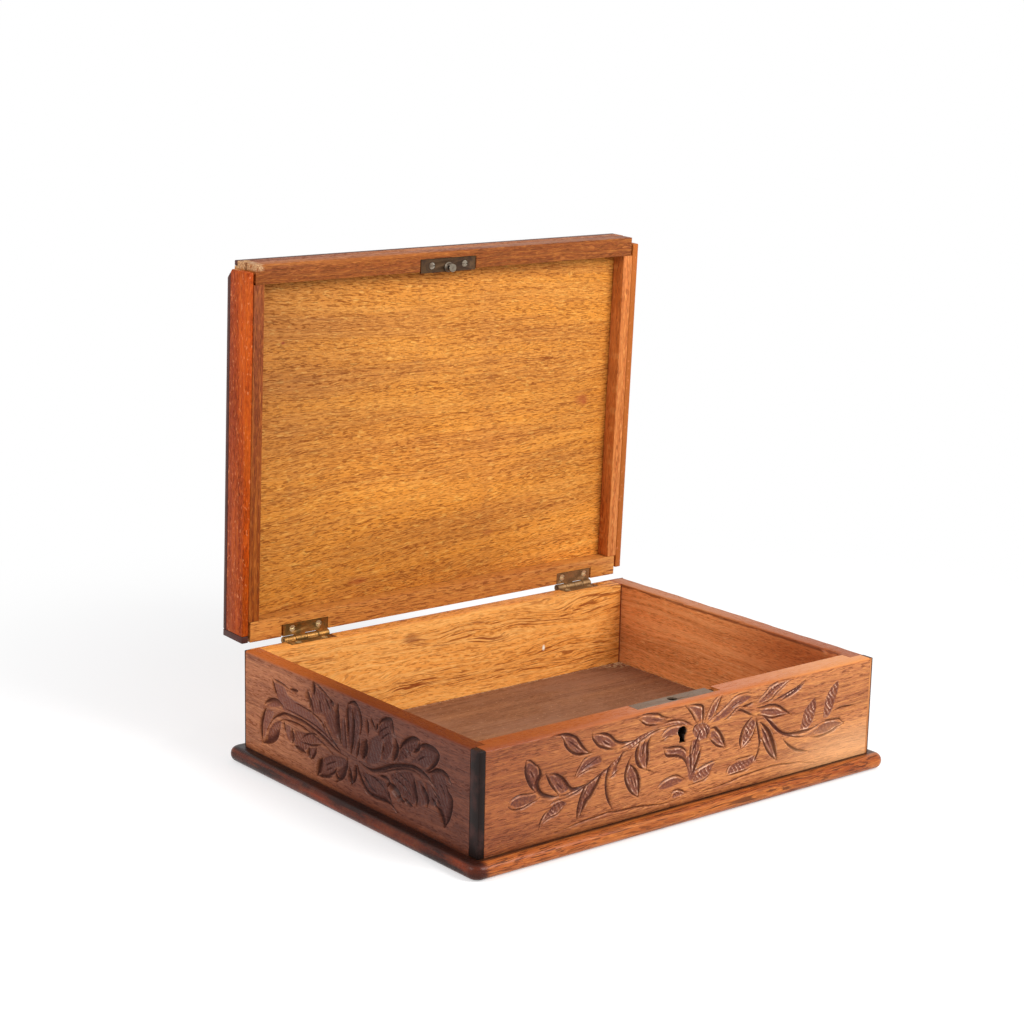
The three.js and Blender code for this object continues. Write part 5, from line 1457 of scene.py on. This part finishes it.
class OAKBOX_OT_stage(bpy.types.Operator):
    """Floor, lamps, sky and camera"""

    bl_idname = "oakbox.stage"
    bl_label = "Stage"

    def execute(self, context):
        scene = context.scene
        scene.view_settings.view_transform = "Standard"
        self.make_floor()
        light = scene.stage_light
        self.make_lamp("key_lamp", light.key, *KEY_LAMP)
        self.make_lamp("fill_lamp", light.fill, *FILL_LAMP)
        self.make_sky(scene, light.sky)
        self.make_camera(scene)
        return {"FINISHED"}

    def make_floor(self):
        """A square floor that fades to plain white away from the box, so that only its shadow shows."""
        signs = ((-1, -1), (1, -1), (1, 1), (-1, 1))
        corners = np.array([[x * FLOOR_HALF, y * FLOOR_HALF, -FLOOR_DROP] for x, y in signs])
        floor = new_piece("floor", corners, [[0, 1, 2, 3]], WOOD_SHARP)
        paint = Paint("stage_floor")
        away = paint.mask(paint.reach(paint.place()), *FADE_MM)
        lit = paint.add("ShaderNodeBsdfDiffuse", inputs={"Color": FLOOR_NEAR})
        glow = paint.add("ShaderNodeEmission", inputs={"Color": WHITE, "Strength": FLOOR_GLOW})
        near = paint.add("ShaderNodeAddShader", inputs={0: lit, 1: glow})
        white = paint.add("ShaderNodeEmission", inputs={"Color": WHITE, "Strength": 1.0})
        seen = paint.add("ShaderNodeMixShader", inputs={0: away, 1: near, 2: white})
        plain = paint.add("ShaderNodeBsdfDiffuse", inputs={"Color": FLOOR_PLAIN})
        chosen = paint.add("ShaderNodeMixShader", inputs={0: seen_rays(paint), 1: plain, 2: seen})
        paint.add("ShaderNodeOutputMaterial", inputs={"Surface": chosen})
        floor.data.materials.append(paint.material)

    def make_lamp(self, name, power, place, size, tint):
        """A round lamp that looks at the middle of the box."""
        lamp = bpy.data.lights.new(name, "AREA")
        lamp.shape = "DISK"
        lamp.size = size
        lamp.energy = power
        lamp.color = tint
        holder = bpy.data.objects.new(name, lamp)
        holder.location = place
        holder.rotation_euler = (LAMP_TARGET - Vector(place)).to_track_quat("-Z", "Y").to_euler()
        bpy.context.scene.collection.objects.link(holder)

    def make_sky(self, scene, strength):
        """Even light, seen as plain white by the camera and in reflections."""
        world = bpy.data.worlds.new("sky")
        scene.world = world
        world.use_nodes = True
        paint = Paint("sky", world.node_tree)
        even = paint.add("ShaderNodeBackground", inputs={"Color": WHITE, "Strength": strength})
        plain = paint.add("ShaderNodeBackground", inputs={"Color": WHITE, "Strength": 1.0})
        mixed = paint.add("ShaderNodeMixShader", inputs={0: seen_rays(paint), 1: even, 2: plain})
        paint.add("ShaderNodeOutputWorld", inputs={"Surface": mixed})

    def make_camera(self, scene):
        """The photograph's camera."""
        data = bpy.data.cameras.new("camera")
        data.sensor_width = SENSOR_MM
        data.lens = FOCAL_PIXELS / FRAME_PIXELS * SENSOR_MM
        camera = bpy.data.objects.new("camera", data)
        turn = Matrix(camera_axes()).transposed().to_4x4()
        camera.matrix_world = Matrix.Translation(CAMERA_PLACE) @ turn
        scene.collection.objects.link(camera)
        scene.camera = camera


class OAKBOX_PT_panel(bpy.types.Panel):
    """Lists the sizes, the colours and the operators of the box"""

    bl_idname = "OAKBOX_PT_panel"
    bl_label = "Carved oak box"
    bl_space_type = "VIEW_3D"
    bl_region_type = "UI"
    bl_category = "Oak Box"

    def draw(self, context):
        for group in ("oak_sizes", "oak_tones", "stage_light"):
            settings = getattr(context.scene, group)
            section = self.layout.box()
            for key in settings.__annotations__:
                section.prop(settings, key)
        for operator in OPERATORS:
            self.layout.operator(operator.bl_idname)


GROUPS = (("oak_tones", OakTones), ("oak_sizes", OakSizes), ("stage_light", StageLight))
OPERATORS = (
    OAKBOX_OT_front_wall,
    OAKBOX_OT_end_walls,
    OAKBOX_OT_plain_body,
    OAKBOX_OT_strips,
    OAKBOX_OT_lid,
    OAKBOX_OT_hinges,
    OAKBOX_OT_lock,
    OAKBOX_OT_stage,
)


def register():
    for key, group in GROUPS:
        bpy.utils.register_class(group)
        setattr(bpy.types.Scene, key, PointerProperty(type=group))
    for operator in OPERATORS:
        bpy.utils.register_class(operator)
    bpy.utils.register_class(OAKBOX_PT_panel)


def unregister():
    bpy.utils.unregister_class(OAKBOX_PT_panel)
    for operator in reversed(OPERATORS):
        bpy.utils.unregister_class(operator)
    for key, group in reversed(GROUPS):
        delattr(bpy.types.Scene, key)
        bpy.utils.unregister_class(group)


def main():
    """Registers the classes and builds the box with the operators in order."""
    register()
    for operator in OPERATORS:
        family, name = operator.bl_idname.split(".")
        getattr(getattr(bpy.ops, family), name)()
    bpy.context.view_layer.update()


if __name__ == "__main__":
    main()
